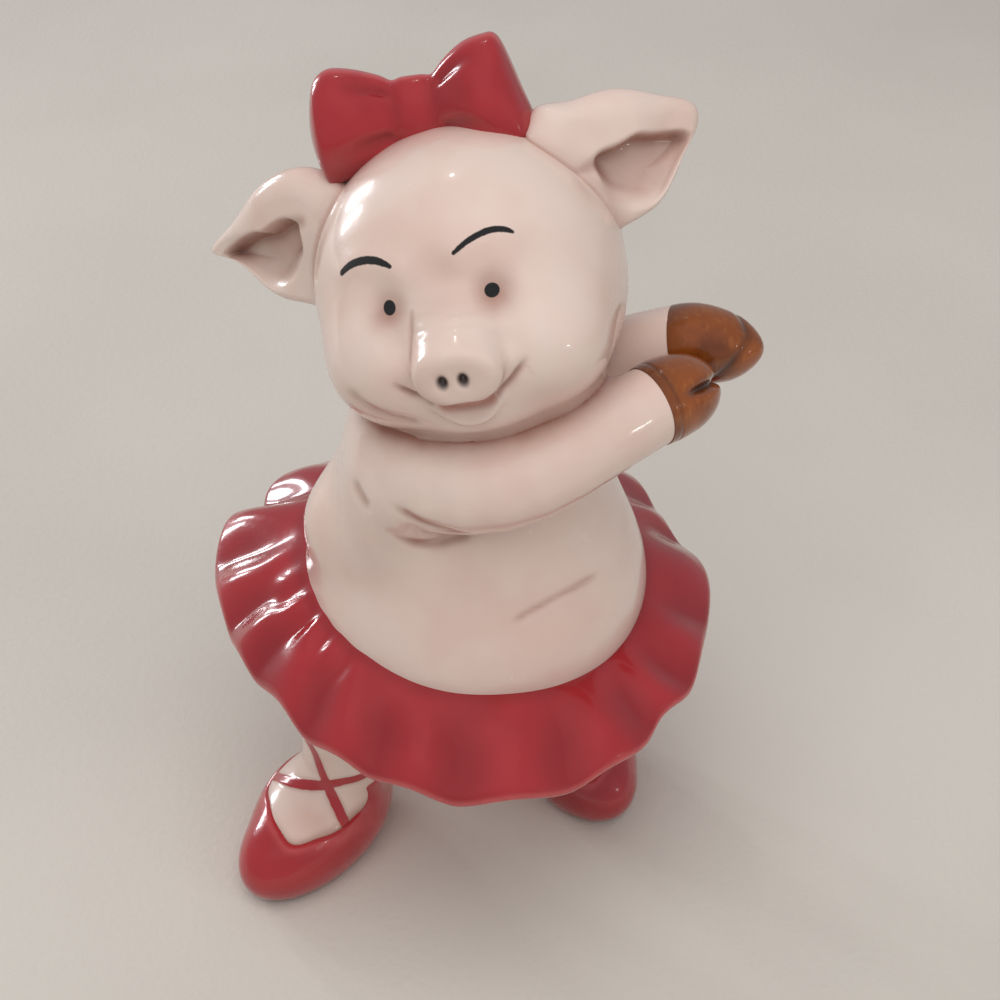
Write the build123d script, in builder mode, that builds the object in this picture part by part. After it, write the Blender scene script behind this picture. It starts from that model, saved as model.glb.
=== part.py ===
"""Glazed ceramic figurine of a pig in a tutu, in millimetres.

Z is up and the figure looks towards -Y, so its right side lies at -X. The soles rest on Z = 0.
Torso and head are hollow castings. The other pieces are solid and are stuck on with slip,
face to face: a smaller piece is cut back by the larger one that it sits on.
"""
import os
from math import cos, pi, radians, sin

from build123d import *

os.makedirs("parts", exist_ok=True)

# Walls and holes of the castings.
shell_wall = 3.2
neck_hole_radius = 4.5
vent_hole_radius = 1.4

# Torso: a pear turned about the Z axis, widest at the belly.
torso_bottom_z = 27.5
hip_rise = 2.8
hip_radius = 14.5
belly_rise = 10.2
belly_radius = 21.8
midriff_rise = 12.0
midriff_radius = 18.3
chest_rise = 11.5
chest_radius = 14.9
collar_rise = 8.5
collar_radius = 10.5
torso_top_rise = 4.5
hip_z = torso_bottom_z + hip_rise
belly_z = hip_z + belly_rise
midriff_z = belly_z + midriff_rise
chest_z = midriff_z + chest_rise
collar_z = chest_z + collar_rise
torso_top_z = collar_z + torso_top_rise

# Head: a ball with cheeks, a chin and a snout, turned to its right, tipped back and leaning.
head_back = 1.0
head_above_chest = 19.0
head_z = chest_z + head_above_chest
head_turn = -7.0
head_tip = -23.0
head_lean = -12.0
head_radius = 17.7
cheek_radius = 8.8
cheek_out = 7.6
cheek_behind_face = 8.3
cheek_below = 6.2
chin_radius = 5.4
chin_behind_face = 6.1
chin_below = 9.2
snout_root_half_width = 6.4
snout_root_half_height = 5.4
snout_root_sink = 4.6
snout_root_below = 3.4
snout_disc_half_width = 4.5
snout_disc_half_height = 3.5
snout_disc_reach = 4.4
snout_disc_below = 6.3
snout_edge_round = 0.8

# Ears: a cupped leaf, rooted in the head and hollowed in front.
ear_root_sink = 3.1
ear_root_back = 1.0
ear_root_depth = 4.0
ear_root_half_height = 7.4
ear_shoulder_reach = 5.0
ear_shoulder_height = 7.2
ear_tip_drop = 0.6
ear_belly_reach = 7.6
ear_belly_drop = 5.6
ear_thickness = 4.2
ear_rim_round = 1.5
ear_hollow_radius = 8.0
ear_hollow_depth = 2.2
ear_hollow_reach = 5.0
ear_sweep_back = 18.0
right_ear_root_above = 7.2
right_ear_lift = -4.0
right_ear_tip_reach = 17.0
left_ear_root_above = 10.4
left_ear_lift = 17.0
left_ear_tip_reach = 13.4

# Bow: one pinched length of clay ribbon that lies across the crown.
bow_left_of_middle = 2.8
bow_back = 0.6
bow_stand = 2.3
bow_half_length = 11.9
bow_end_half_height = 4.8
bow_end_half_depth = 2.0
bow_lobe_half_height = 6.2
bow_lobe_half_depth = 3.4
bow_lobe_reach = 9.0
right_lobe_droop = 1.0
left_lobe_rise = 0.6
bow_pinch_half_height = 3.4
bow_pinch_half_depth = 2.5
bow_pinch_reach = 3.2
bow_knot_half_height = 3.8
bow_knot_half_depth = 3.4
bow_knot_half_width = 2.6

# Arms: the right one crosses the chest, the left one passes behind the cheek.
shoulder_radius = 6.2
upper_arm_radius = 6.0
forearm_radius = 5.3
wrist_radius = 4.7
right_shoulder_x = -10.6
right_shoulder_y = -4.5
right_shoulder_rise = 0.0
right_upper_arm_x = -8.6
right_upper_arm_y = -11.6
right_upper_arm_rise = 0.8
right_elbow_x = -3.2
right_elbow_clear = 0.5
right_elbow_rise = 2.2
right_forearm_x = 4.6
right_forearm_clear = 1.3
right_forearm_rise = 3.6
right_lower_arm_x = 12.6
right_lower_arm_y = -13.4
right_lower_arm_rise = 6.4
right_wrist_x = 20.4
right_wrist_y = -8.4
right_wrist_rise = 9.0
right_trotter_x = 26.2
right_trotter_y = -4.8
right_trotter_rise = 9.3
left_shoulder_x = 8.0
left_shoulder_y = 3.0
left_shoulder_rise = 1.0
left_elbow_x = 15.0
left_elbow_y = 5.2
left_elbow_rise = 4.0
left_wrist_x = 24.6
left_wrist_y = 4.6
left_wrist_rise = 8.2
left_trotter_x = 33.2
left_trotter_y = 2.2
left_trotter_rise = 9.2
trotter_swell_radius = 5.0
trotter_tip_radius = 2.6
trotter_cleft_width = 1.2
trotter_cleft_depth = 3.0

# Tutu: a ruffled ring that flares from the belly, tilted up towards the figure's back right.
# Each turn is the direction, in degrees from +X, in which the size beside it is greatest.
skirt_root_sink = 3.2
skirt_waist_above_belly = 1.85
skirt_waist_tilt = 2.6
skirt_waist_tilt_turn = 145.0
skirt_waist_sway = 0.7
skirt_waist_sway_turn = 26.5
skirt_overhang = 9.75
skirt_hem_offset = 1.25
skirt_hem_offset_turn = 154.0
skirt_hem_oval = 0.95
skirt_hem_oval_turn = -55.0
skirt_hem_corners = 0.75
skirt_hem_corners_turn = 40.0
skirt_hem_drop = 7.1
skirt_hem_tilt = 2.2
skirt_hem_tilt_turn = 121.0
skirt_hem_sway = 0.65
skirt_hem_sway_turn = -31.0
skirt_root_thickness = 3.8
skirt_middle_thickness = 2.9
skirt_hem_thickness = 2.1
skirt_middle_share = 0.55
skirt_middle_fall = 0.43
ruffle_count = 17
ruffle_height = 0.65
ruffle_right_gain = 0.85
ruffle_right_turn = 205.0
ruffle_reach = 0.3
ruffle_valley_turn = 14.0
stations_per_ruffle = 4
skirt_seam_turn = 20.0
skirt_root_radius = belly_radius - skirt_root_sink
skirt_waist_z = belly_z + skirt_waist_above_belly
skirt_hem_radius = belly_radius + skirt_overhang
skirt_hem_z = skirt_waist_z - skirt_hem_drop

# Legs and slippers: each leg stands in the pocket of its slipper.
leg_hip_radius = 7.6
leg_ankle_radius = 6.3
leg_heel_radius = 5.0
leg_hip_above_bottom = 8.5
leg_ankle_z = 13.0
leg_heel_z = 6.5
leg_hip_z = torso_bottom_z + leg_hip_above_bottom
right_hip_x = -9.0
right_hip_y = -2.0
right_ankle_x = -18.2
right_ankle_y = -7.6
right_foot_turn = -36.0
left_hip_x = 8.0
left_hip_y = 3.0
left_ankle_x = 10.8
left_ankle_y = 5.0
left_foot_turn = 30.0
foot_half_length = 13.0
foot_half_width = 8.0
foot_half_height = 6.8
foot_centre_z = 4.0
foot_forward = 4.6
slipper_sole_thickness = 3.4
slipper_mouth_half_length = 8.4
slipper_side_wall = 2.0
slipper_mouth_forward = 2.6


def across(point, before, after):
    """Plane through a point of a limb, square to the limb's run from before to after."""
    run = (after - before).normalized()
    level = Vector(0, 0, 1).cross(run).normalized()
    return Plane(origin=point, x_dir=level, z_dir=run)


right_shoulder = Vector(right_shoulder_x, right_shoulder_y, chest_z + right_shoulder_rise)
right_upper_arm = Vector(right_upper_arm_x, right_upper_arm_y, chest_z + right_upper_arm_rise)
right_elbow = Vector(right_elbow_x, -chest_radius - right_elbow_clear, chest_z + right_elbow_rise)
right_forearm = Vector(right_forearm_x, -chest_radius - right_forearm_clear, chest_z + right_forearm_rise)
right_lower_arm = Vector(right_lower_arm_x, right_lower_arm_y, chest_z + right_lower_arm_rise)
right_wrist = Vector(right_wrist_x, right_wrist_y, chest_z + right_wrist_rise)
right_trotter_tip = Vector(right_trotter_x, right_trotter_y, chest_z + right_trotter_rise)
left_shoulder = Vector(left_shoulder_x, left_shoulder_y, chest_z + left_shoulder_rise)
left_elbow = Vector(left_elbow_x, left_elbow_y, chest_z + left_elbow_rise)
left_wrist = Vector(left_wrist_x, left_wrist_y, chest_z + left_wrist_rise)
left_trotter_tip = Vector(left_trotter_x, left_trotter_y, chest_z + left_trotter_rise)
right_trotter_middle = (right_wrist + right_trotter_tip) / 2
left_trotter_middle = (left_wrist + left_trotter_tip) / 2
head_location = Pos(0, head_back, head_z) * Rot(Z=head_turn) * Rot(X=head_tip) * Rot(Y=head_lean)


def face_plane(forward, below):
    """Plane of the head that looks out of the face, a reach forward and below its centre."""
    return Plane(head_location * Pos(0, -forward, -below) * Rot(X=90))


def ear_plane(side, above, lift):
    """Plane of an ear's middle, at its root, with the ear pointing to that side."""
    root = Pos(side * (head_radius - ear_root_sink), ear_root_back, above)
    turn = Rot(Z=side * ear_sweep_back) * Rot(Y=-side * lift)
    return Plane(head_location * root * turn * Rot(X=90))


def bow_plane(reach, droop):
    """Plane across the bow, a reach along it from the knot and a droop below it."""
    knot = Pos(-bow_left_of_middle, bow_back, head_radius + bow_stand)
    return Plane(head_location * knot * Pos(reach, 0, -droop) * Rot(Y=90))


def skirt_plane(angle):
    """Upright plane through the figure's axis, turned by an angle in radians."""
    return Plane(origin=(0, 0, 0), x_dir=(cos(angle), sin(angle), 0), z_dir=(sin(angle), -cos(angle), 0))


def foot_plane(ankle_x, ankle_y, turn, height):
    """Level plane of a foot, with the toe towards -Y before the turn."""
    return Plane(Pos(ankle_x, ankle_y, height) * Rot(Z=turn))


def ear_leaf(side, above, lift, tip_reach):
    """Outline of an ear: over the top to the tip, and back under it, closed inside the head."""
    with BuildSketch(ear_plane(side, above, lift)) as leaf:
        with BuildLine():
            rim = Spline(
                (-side * ear_root_depth, ear_root_half_height),
                (side * ear_shoulder_reach, ear_shoulder_height),
                (side * tip_reach, -ear_tip_drop),
                (side * ear_belly_reach, -ear_belly_drop),
                (-side * ear_root_depth, -ear_root_half_height),
            )
            Line(rim @ 1, rim @ 0)
        make_face()
    return leaf.sketch


def ear_hollow_plane(side, above, lift):
    """Plane in front of an ear whose origin is the centre of the ball that hollows it."""
    in_front = ear_thickness / 2 + ear_hollow_radius - ear_hollow_depth
    middle = ear_plane(side, above, lift)
    return Plane(middle.location * Pos(side * ear_hollow_reach, 0, in_front))


def limb_ring(point, before, after, radius):
    """Round cross-section of a limb at one of its points."""
    with BuildSketch(across(point, before, after)) as ring:
        Circle(radius)
    return ring.sketch


def bow_ring(reach, droop, half_height, half_depth):
    """Oval cross-section of the bow."""
    with BuildSketch(bow_plane(reach, droop)) as ring:
        Ellipse(half_height, half_depth)
    return ring.sketch


def swing(angle, size, turn, waves):
    """Share of a size at an angle: all of it in the direction of the turn, as a cosine with so many waves."""
    return size * cos(waves * (angle - radians(turn)))


def skirt_slice(angle):
    """Upright cross-section of the skirt at an angle: from the belly, over a shoulder, to the hem on its ruffle."""
    wave = -swing(angle, 1, ruffle_valley_turn, ruffle_count)
    gain = 1 + ruffle_right_gain * (0.5 + swing(angle, 0.5, ruffle_right_turn, 1)) ** 2
    ruffle = ruffle_height * gain * wave
    hem_radius = skirt_hem_radius + ruffle_reach * wave
    hem_radius += swing(angle, skirt_hem_offset, skirt_hem_offset_turn, 1)
    hem_radius += swing(angle, skirt_hem_oval, skirt_hem_oval_turn, 2)
    hem_radius += swing(angle, skirt_hem_corners, skirt_hem_corners_turn, 3)
    waist_z = skirt_waist_z + swing(angle, skirt_waist_tilt, skirt_waist_tilt_turn, 1)
    waist_z += swing(angle, skirt_waist_sway, skirt_waist_sway_turn, 2)
    hem_z = skirt_hem_z + swing(angle, skirt_hem_tilt, skirt_hem_tilt_turn, 1)
    hem_z += swing(angle, skirt_hem_sway, skirt_hem_sway_turn, 2)
    root_z = waist_z - 0.4 * skirt_root_thickness
    middle_radius = skirt_root_radius + skirt_middle_share * (hem_radius - skirt_root_radius)
    middle_z = root_z + skirt_middle_fall * (hem_z - root_z) + ruffle / 2
    hem_z += ruffle
    with BuildSketch(skirt_plane(angle)) as slice_:
        Polygon(
            (skirt_root_radius, root_z + skirt_root_thickness / 2),
            (skirt_root_radius, root_z - skirt_root_thickness / 2),
            (middle_radius, middle_z - skirt_middle_thickness / 2),
            (hem_radius, hem_z - skirt_hem_thickness / 2),
            (hem_radius, hem_z + skirt_hem_thickness / 2),
            (middle_radius, middle_z + skirt_middle_thickness / 2),
            align=None,
        )
    return slice_.sketch


def skirt_half(first_angle):
    """Cross-sections of half the skirt, from an angle to the one across from it."""
    steps = ruffle_count * stations_per_ruffle // 2
    return [skirt_slice(first_angle + pi * i / steps) for i in range(steps + 1)]


def level_ring(x, y, z, radius):
    """Round level cross-section of a leg."""
    with BuildSketch(Plane.XY.offset(z)) as ring:
        with Locations((x, y)):
            Circle(radius)
    return ring.sketch


def slipper_mouth(ankle_x, ankle_y, turn):
    """Oval mouth of a slipper, drawn on the top of its sole."""
    with BuildSketch(foot_plane(ankle_x, ankle_y, turn, slipper_sole_thickness)) as mouth:
        with Locations((0, -slipper_mouth_forward)):
            Ellipse(foot_half_width - slipper_side_wall, slipper_mouth_half_length)
    return mouth.sketch


# Outer form of the torso, which the pieces around it are cut by.
with BuildPart() as torso_form:
    with BuildSketch(Plane.XZ):
        with BuildLine():
            pear_side = Spline(
                (0, torso_bottom_z),
                (hip_radius, hip_z),
                (belly_radius, belly_z),
                (midriff_radius, midriff_z),
                (chest_radius, chest_z),
                (collar_radius, collar_z),
                (0, torso_top_z),
                tangents=((1, 0), (-1, 0)),
            )
            Line(pear_side @ 1, pear_side @ 0)
        make_face()
    revolve(axis=Axis.Z)

# Snout, a short tapered trunk with a rounded disc edge.
with BuildPart() as snout_form:
    with BuildSketch(face_plane(head_radius - snout_root_sink, snout_root_below)):
        Ellipse(snout_root_half_width, snout_root_half_height)
    with BuildSketch(face_plane(head_radius + snout_disc_reach, snout_disc_below)):
        Ellipse(snout_disc_half_width, snout_disc_half_height)
    loft()
    disc_plane = face_plane(head_radius + snout_disc_reach, snout_disc_below)
    fillet(snout_form.edges().sort_by(Axis(disc_plane.origin, disc_plane.z_dir))[-1], snout_edge_round)

# Ball of the head with cheeks and chin.
with BuildPart(Plane(head_location)) as head_ball:
    Sphere(head_radius)
    with Locations(
        (-cheek_out, cheek_behind_face - head_radius, -cheek_below),
        (cheek_out, cheek_behind_face - head_radius, -cheek_below),
    ):
        Sphere(cheek_radius)
    with Locations((0, chin_behind_face - head_radius, -chin_below)):
        Sphere(chin_radius)

# Outer form of the head, which the pieces around it are cut by.
with BuildPart() as head_form:
    add(head_ball.part)
    add(snout_form.part)

# Hollow of the head, one wall inside the ball.
with BuildPart(Plane(head_location)) as head_cavity:
    Sphere(head_radius - shell_wall)

# Hollow of the torso, one wall inside the pear and one wall under the head.
with BuildPart() as torso_cavity:
    offset(torso_form.part, amount=-shell_wall)
    with Locations(head_location):
        Sphere(head_radius + shell_wall, mode=Mode.SUBTRACT)

# Neck passage that joins the two hollows.
with BuildPart() as neck_passage:
    with BuildSketch(Plane.XY.offset(head_z)):
        Circle(neck_hole_radius)
    extrude(amount=-head_radius - 2 * shell_wall)

with BuildPart() as torso_shell:
    add(torso_form.part)
    add(head_form.part, mode=Mode.SUBTRACT)
    add(torso_cavity.part, mode=Mode.SUBTRACT)
    add(neck_passage.part, mode=Mode.SUBTRACT)
    with BuildSketch(Plane.XY.offset(torso_bottom_z - shell_wall)):
        Circle(vent_hole_radius)
    extrude(amount=3 * shell_wall, mode=Mode.SUBTRACT)
torso_shell.part.label = "torso_shell"
export_step(torso_shell.part, "parts/torso_shell.step")

with BuildPart() as head_shell:
    add(head_form.part)
    add(head_cavity.part, mode=Mode.SUBTRACT)
    add(neck_passage.part, mode=Mode.SUBTRACT)
head_shell.part.label = "head_shell"
export_step(head_shell.part, "parts/head_shell.step")

with BuildPart() as hair_bow:
    loft(
        [
            bow_ring(-bow_half_length, right_lobe_droop, bow_end_half_height, bow_end_half_depth),
            bow_ring(-bow_lobe_reach, right_lobe_droop, bow_lobe_half_height, bow_lobe_half_depth),
            bow_ring(-bow_pinch_reach, 0, bow_pinch_half_height, bow_pinch_half_depth),
            bow_ring(bow_pinch_reach, 0, bow_pinch_half_height, bow_pinch_half_depth),
            bow_ring(bow_lobe_reach, -left_lobe_rise, bow_lobe_half_height, bow_lobe_half_depth),
            bow_ring(bow_half_length, -left_lobe_rise, bow_end_half_height, bow_end_half_depth),
        ]
    )
    loft(
        [
            bow_ring(-bow_knot_half_width, 0, bow_pinch_half_height, bow_pinch_half_depth),
            bow_ring(0, 0, bow_knot_half_height, bow_knot_half_depth),
            bow_ring(bow_knot_half_width, 0, bow_pinch_half_height, bow_pinch_half_depth),
        ]
    )
    add(head_form.part, mode=Mode.SUBTRACT)
hair_bow.part.label = "hair_bow"
export_step(hair_bow.part, "parts/hair_bow.step")

with BuildPart() as right_ear:
    extrude(ear_leaf(-1, right_ear_root_above, right_ear_lift, right_ear_tip_reach), amount=ear_thickness / 2, both=True)
    fillet(right_ear.edges(), ear_rim_round)
    with Locations(ear_hollow_plane(-1, right_ear_root_above, right_ear_lift)):
        Sphere(ear_hollow_radius, mode=Mode.SUBTRACT)
    add(head_form.part, mode=Mode.SUBTRACT)
    add(hair_bow.part, mode=Mode.SUBTRACT)
right_ear.part.label = "right_ear"
export_step(right_ear.part, "parts/right_ear.step")

with BuildPart() as left_ear:
    extrude(ear_leaf(1, left_ear_root_above, left_ear_lift, left_ear_tip_reach), amount=ear_thickness / 2, both=True)
    fillet(left_ear.edges(), ear_rim_round)
    with Locations(ear_hollow_plane(1, left_ear_root_above, left_ear_lift)):
        Sphere(ear_hollow_radius, mode=Mode.SUBTRACT)
    add(head_form.part, mode=Mode.SUBTRACT)
    add(hair_bow.part, mode=Mode.SUBTRACT)
left_ear.part.label = "left_ear"
export_step(left_ear.part, "parts/left_ear.step")

with BuildPart() as right_arm:
    loft(
        [
            limb_ring(right_shoulder, right_shoulder, right_upper_arm, shoulder_radius),
            limb_ring(right_upper_arm, right_shoulder, right_elbow, upper_arm_radius),
            limb_ring(right_elbow, right_upper_arm, right_forearm, upper_arm_radius),
            limb_ring(right_forearm, right_elbow, right_lower_arm, upper_arm_radius),
            limb_ring(right_lower_arm, right_forearm, right_wrist, forearm_radius),
            limb_ring(right_wrist, right_lower_arm, right_wrist, wrist_radius),
        ]
    )
    add(torso_form.part, mode=Mode.SUBTRACT)
    add(head_form.part, mode=Mode.SUBTRACT)
right_arm.part.label = "right_arm"
export_step(right_arm.part, "parts/right_arm.step")

with BuildPart() as left_arm:
    loft(
        [
            limb_ring(left_shoulder, left_shoulder, left_elbow, shoulder_radius),
            limb_ring(left_elbow, left_shoulder, left_wrist, forearm_radius),
            limb_ring(left_wrist, left_elbow, left_wrist, wrist_radius),
        ]
    )
    add(torso_form.part, mode=Mode.SUBTRACT)
    add(head_form.part, mode=Mode.SUBTRACT)
left_arm.part.label = "left_arm"
export_step(left_arm.part, "parts/left_arm.step")

with BuildPart() as right_trotter:
    loft(
        [
            limb_ring(right_wrist, right_lower_arm, right_wrist, wrist_radius),
            limb_ring(right_trotter_middle, right_wrist, right_trotter_tip, trotter_swell_radius),
            limb_ring(right_trotter_tip, right_wrist, right_trotter_tip, trotter_tip_radius),
        ]
    )
    with BuildSketch(across(right_trotter_tip, right_wrist, right_trotter_tip)):
        Rectangle(trotter_cleft_width, 4 * trotter_tip_radius)
    extrude(amount=-trotter_cleft_depth, mode=Mode.SUBTRACT)
right_trotter.part.label = "right_trotter"
export_step(right_trotter.part, "parts/right_trotter.step")

with BuildPart() as left_trotter:
    loft(
        [
            limb_ring(left_wrist, left_elbow, left_wrist, wrist_radius),
            limb_ring(left_trotter_middle, left_wrist, left_trotter_tip, trotter_swell_radius),
            limb_ring(left_trotter_tip, left_wrist, left_trotter_tip, trotter_tip_radius),
        ]
    )
    with BuildSketch(across(left_trotter_tip, left_wrist, left_trotter_tip)):
        Rectangle(trotter_cleft_width, 4 * trotter_tip_radius)
    extrude(amount=-trotter_cleft_depth, mode=Mode.SUBTRACT)
    add(right_trotter.part, mode=Mode.SUBTRACT)
left_trotter.part.label = "left_trotter"
export_step(left_trotter.part, "parts/left_trotter.step")

with BuildPart() as tutu_skirt:
    loft(skirt_half(radians(skirt_seam_turn)))
    loft(skirt_half(radians(skirt_seam_turn) + pi))
    add(torso_form.part, mode=Mode.SUBTRACT)
tutu_skirt.part.label = "tutu_skirt"
export_step(tutu_skirt.part, "parts/tutu_skirt.step")

# Outer form of a foot: a flattened ball, cut level at the sole.
with BuildPart() as foot_ball:
    Sphere(1)
    scale(by=(foot_half_width, foot_half_length, foot_half_height))

with BuildPart(foot_plane(right_ankle_x, right_ankle_y, right_foot_turn, 0)) as right_foot_form:
    with Locations((0, -foot_forward, foot_centre_z)):
        add(foot_ball.part)
    split(bisect_by=Plane.XY, keep=Keep.TOP)

with BuildPart(foot_plane(left_ankle_x, left_ankle_y, left_foot_turn, 0)) as left_foot_form:
    with Locations((0, -foot_forward, foot_centre_z)):
        add(foot_ball.part)
    split(bisect_by=Plane.XY, keep=Keep.TOP)

with BuildPart() as right_leg:
    add(right_foot_form.part)
    extrude(
        slipper_mouth(right_ankle_x, right_ankle_y, right_foot_turn),
        amount=leg_hip_z,
        mode=Mode.INTERSECT,
    )
    loft(
        [
            level_ring(right_ankle_x, right_ankle_y, leg_heel_z, leg_heel_radius),
            level_ring(right_ankle_x, right_ankle_y, leg_ankle_z, leg_ankle_radius),
            level_ring(right_hip_x, right_hip_y, leg_hip_z, leg_hip_radius),
        ]
    )
    add(torso_form.part, mode=Mode.SUBTRACT)
right_leg.part.label = "right_leg"
export_step(right_leg.part, "parts/right_leg.step")

with BuildPart() as left_leg:
    add(left_foot_form.part)
    extrude(
        slipper_mouth(left_ankle_x, left_ankle_y, left_foot_turn),
        amount=leg_hip_z,
        mode=Mode.INTERSECT,
    )
    loft(
        [
            level_ring(left_ankle_x, left_ankle_y, leg_heel_z, leg_heel_radius),
            level_ring(left_ankle_x, left_ankle_y, leg_ankle_z, leg_ankle_radius),
            level_ring(left_hip_x, left_hip_y, leg_hip_z, leg_hip_radius),
        ]
    )
    add(torso_form.part, mode=Mode.SUBTRACT)
left_leg.part.label = "left_leg"
export_step(left_leg.part, "parts/left_leg.step")

with BuildPart() as right_slipper:
    add(right_foot_form.part)
    add(right_leg.part, mode=Mode.SUBTRACT)
right_slipper.part.label = "right_slipper"
export_step(right_slipper.part, "parts/right_slipper.step")

with BuildPart() as left_slipper:
    add(left_foot_form.part)
    add(left_leg.part, mode=Mode.SUBTRACT)
left_slipper.part.label = "left_slipper"
export_step(left_slipper.part, "parts/left_slipper.step")
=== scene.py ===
import bpy
import numpy as np
from mathutils import Matrix


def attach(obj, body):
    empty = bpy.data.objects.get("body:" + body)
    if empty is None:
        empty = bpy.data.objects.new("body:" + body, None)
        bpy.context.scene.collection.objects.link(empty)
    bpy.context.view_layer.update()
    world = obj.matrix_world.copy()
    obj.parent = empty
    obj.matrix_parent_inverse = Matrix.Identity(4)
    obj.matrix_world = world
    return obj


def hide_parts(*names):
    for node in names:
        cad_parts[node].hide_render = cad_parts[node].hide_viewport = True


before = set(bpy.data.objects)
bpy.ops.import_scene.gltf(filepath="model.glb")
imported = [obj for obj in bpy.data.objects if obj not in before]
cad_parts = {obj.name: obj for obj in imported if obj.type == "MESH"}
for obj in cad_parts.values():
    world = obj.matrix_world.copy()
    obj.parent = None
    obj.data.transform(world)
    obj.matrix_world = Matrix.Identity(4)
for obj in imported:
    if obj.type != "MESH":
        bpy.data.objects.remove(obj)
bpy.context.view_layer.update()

STEP = 1
MILLIMETRE = 0.001

# Shapes are worked out in millimetres in the frame of the CAD model, and lay_piece turns them into metres.


def spline_through(knots, values, at):
    """Natural cubic spline: its bends, the second slopes at the knots, solve a small linear system.
    Past both ends it runs on straight."""
    x = np.asarray(knots, float)
    y = np.asarray(values, float).reshape(len(x), -1)
    gap = np.diff(x)
    rise = np.diff(y, axis=0) / gap[:, None]
    inner = np.arange(1, len(x) - 1)
    system = np.eye(len(x))
    system[inner, inner - 1] = gap[:-1]
    system[inner, inner] = 2 * (gap[:-1] + gap[1:])
    system[inner, inner + 1] = gap[1:]
    bend = np.zeros_like(y)
    bend[1:-1] = 6 * np.diff(rise, axis=0)
    bend = np.linalg.solve(system, bend)
    at = np.asarray(at, float)
    k = np.clip(np.searchsorted(x, at) - 1, 0, len(x) - 2)
    past = (at - x[k])[..., None]
    width = gap[k][..., None]
    inside = np.clip(past, 0, width)
    slope = rise[k] - width * (2 * bend[k] + bend[k + 1]) / 6
    twist = (bend[k + 1] - bend[k]) / width
    value = y[k] + slope * inside + bend[k] / 2 * inside**2 + twist / 6 * inside**3
    end_slope = slope + bend[k] * inside + twist / 2 * inside**2
    value = value + end_slope * (past - inside)
    return value[..., 0] if np.ndim(values) == 1 else value


def closed_spline(knots, values, at, period):
    """Spline through values that repeat: three rounds of the knots are splined and the middle one is read."""
    x = np.asarray(knots, float)
    y = np.asarray(values, float)
    return spline_through(np.concatenate([x - period, x, x + period]), np.concatenate([y, y, y]), at)


def smooth_line(points, count=17):
    """Line of count points on a spline through a few points that are spaced evenly along it."""
    return spline_through(np.linspace(0, 1, len(points)), points, np.linspace(0, 1, count))


def ease(t):
    """Smooth step from 0 to 1: 3t2 - 2t3 with t held between 0 and 1."""
    t = np.clip(t, 0, 1)
    return t * t * (3 - 2 * t)


def hump(distance, width):
    """Bell curve of a distance: 1 at none, near 0 past two widths."""
    return np.exp(-((distance / width) ** 2))


def fade(distance, width):
    """1 inside a form, falling off outside it as the exponential of the distance over a width."""
    return np.exp(-np.maximum(distance, 0) / width)


def quarter_round(t):
    """Quarter circle that rises from 0 at 0 to 1 at 1, and stays there."""
    return np.sqrt(1 - np.clip(1 - t, 0, 1) ** 2)


def turned(axis, degrees):
    """Rotation matrix about X, Y or Z."""
    i = "xyz".index(axis)
    j, k = (i + 1) % 3, (i + 2) % 3
    c = np.cos(np.radians(degrees))
    s = np.sin(np.radians(degrees))
    m = np.eye(3)
    m[j, j] = m[k, k] = c
    m[k, j] = s
    m[j, k] = -s
    return m


def joined(a, b, soft):
    """Smooth union of two distance fields: the smaller, eased into the other over a band of width soft."""
    h = np.clip(0.5 + 0.5 * (b - a) / soft, 0, 1)
    return b + (a - b) * h - soft * h * (1 - h)


def length_of(v):
    """Length of each vector."""
    return np.linalg.norm(v, axis=-1)


def unit(v):
    """Each vector at length 1."""
    return v / length_of(v)[..., None]


def way_along(path):
    """Way along a line of points up to each of them."""
    return np.concatenate([[0], np.cumsum(length_of(np.diff(path, axis=0)))])


def crowded(count):
    """Shares between 0 and 1 that crowd towards both ends as half of one less a cosine does."""
    return (1 - np.cos(np.pi * (np.arange(count) + 0.5) / count)) / 2


def gap_to(p, place):
    """Distance to a point."""
    return length_of(p - np.asarray(place, float))


def ball(p, centre, radius):
    """Distance to a sphere."""
    return gap_to(p, centre) - radius


def oval(p, centre, radii):
    """Near distance to an ellipsoid: the scaled length less one, over the length of its gradient."""
    q = (p - np.asarray(centre, float)) / radii
    k = length_of(q)
    return k * (k - 1) / (length_of(q / radii) + 1e-9)


def near_path(p, path):
    """Distance to a line of points, and the share of the way along it at the nearest place."""
    path = np.asarray(path, float)
    best = np.full(p.shape[:-1], np.inf)
    along = np.zeros(p.shape[:-1])
    for i in range(len(path) - 1):
        run = path[i + 1] - path[i]
        t = np.clip((p - path[i]) @ run / (run @ run), 0, 1)
        d = length_of(p - path[i] - t[..., None] * run)
        along = np.where(d < best, (i + t) / (len(path) - 1), along)
        best = np.minimum(best, d)
    return best, along


def limb(p, path, radii):
    """Distance to a line of points less a radius that runs evenly from point to point."""
    d, along = near_path(p, path)
    return d - np.interp(along, np.linspace(0, 1, len(radii)), radii)


def surface_along(form, start, directions, reach, looks=1, halvings=20):
    """How far each ray from start runs before it first leaves the form: looks evenly spaced places
    bracket the way out, and halving the bracket finds it. A ray that stays inside stops at its reach."""
    near = np.zeros(directions.shape[:-1])
    far = near + reach
    step = far / looks
    found = near > 0
    for i in range(1, looks + 1):
        outside = form(start + (i * step)[..., None] * directions) > 0
        first = outside & ~found
        near = np.where(first, (i - 1) * step, near)
        far = np.where(first, i * step, far)
        found = found | outside
    for _ in range(halvings):
        middle = (near + far) / 2
        inside = form(start + middle[..., None] * directions) < 0
        near = np.where(inside, middle, near)
        far = np.where(inside, far, middle)
    return (near + far) / 2


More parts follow.
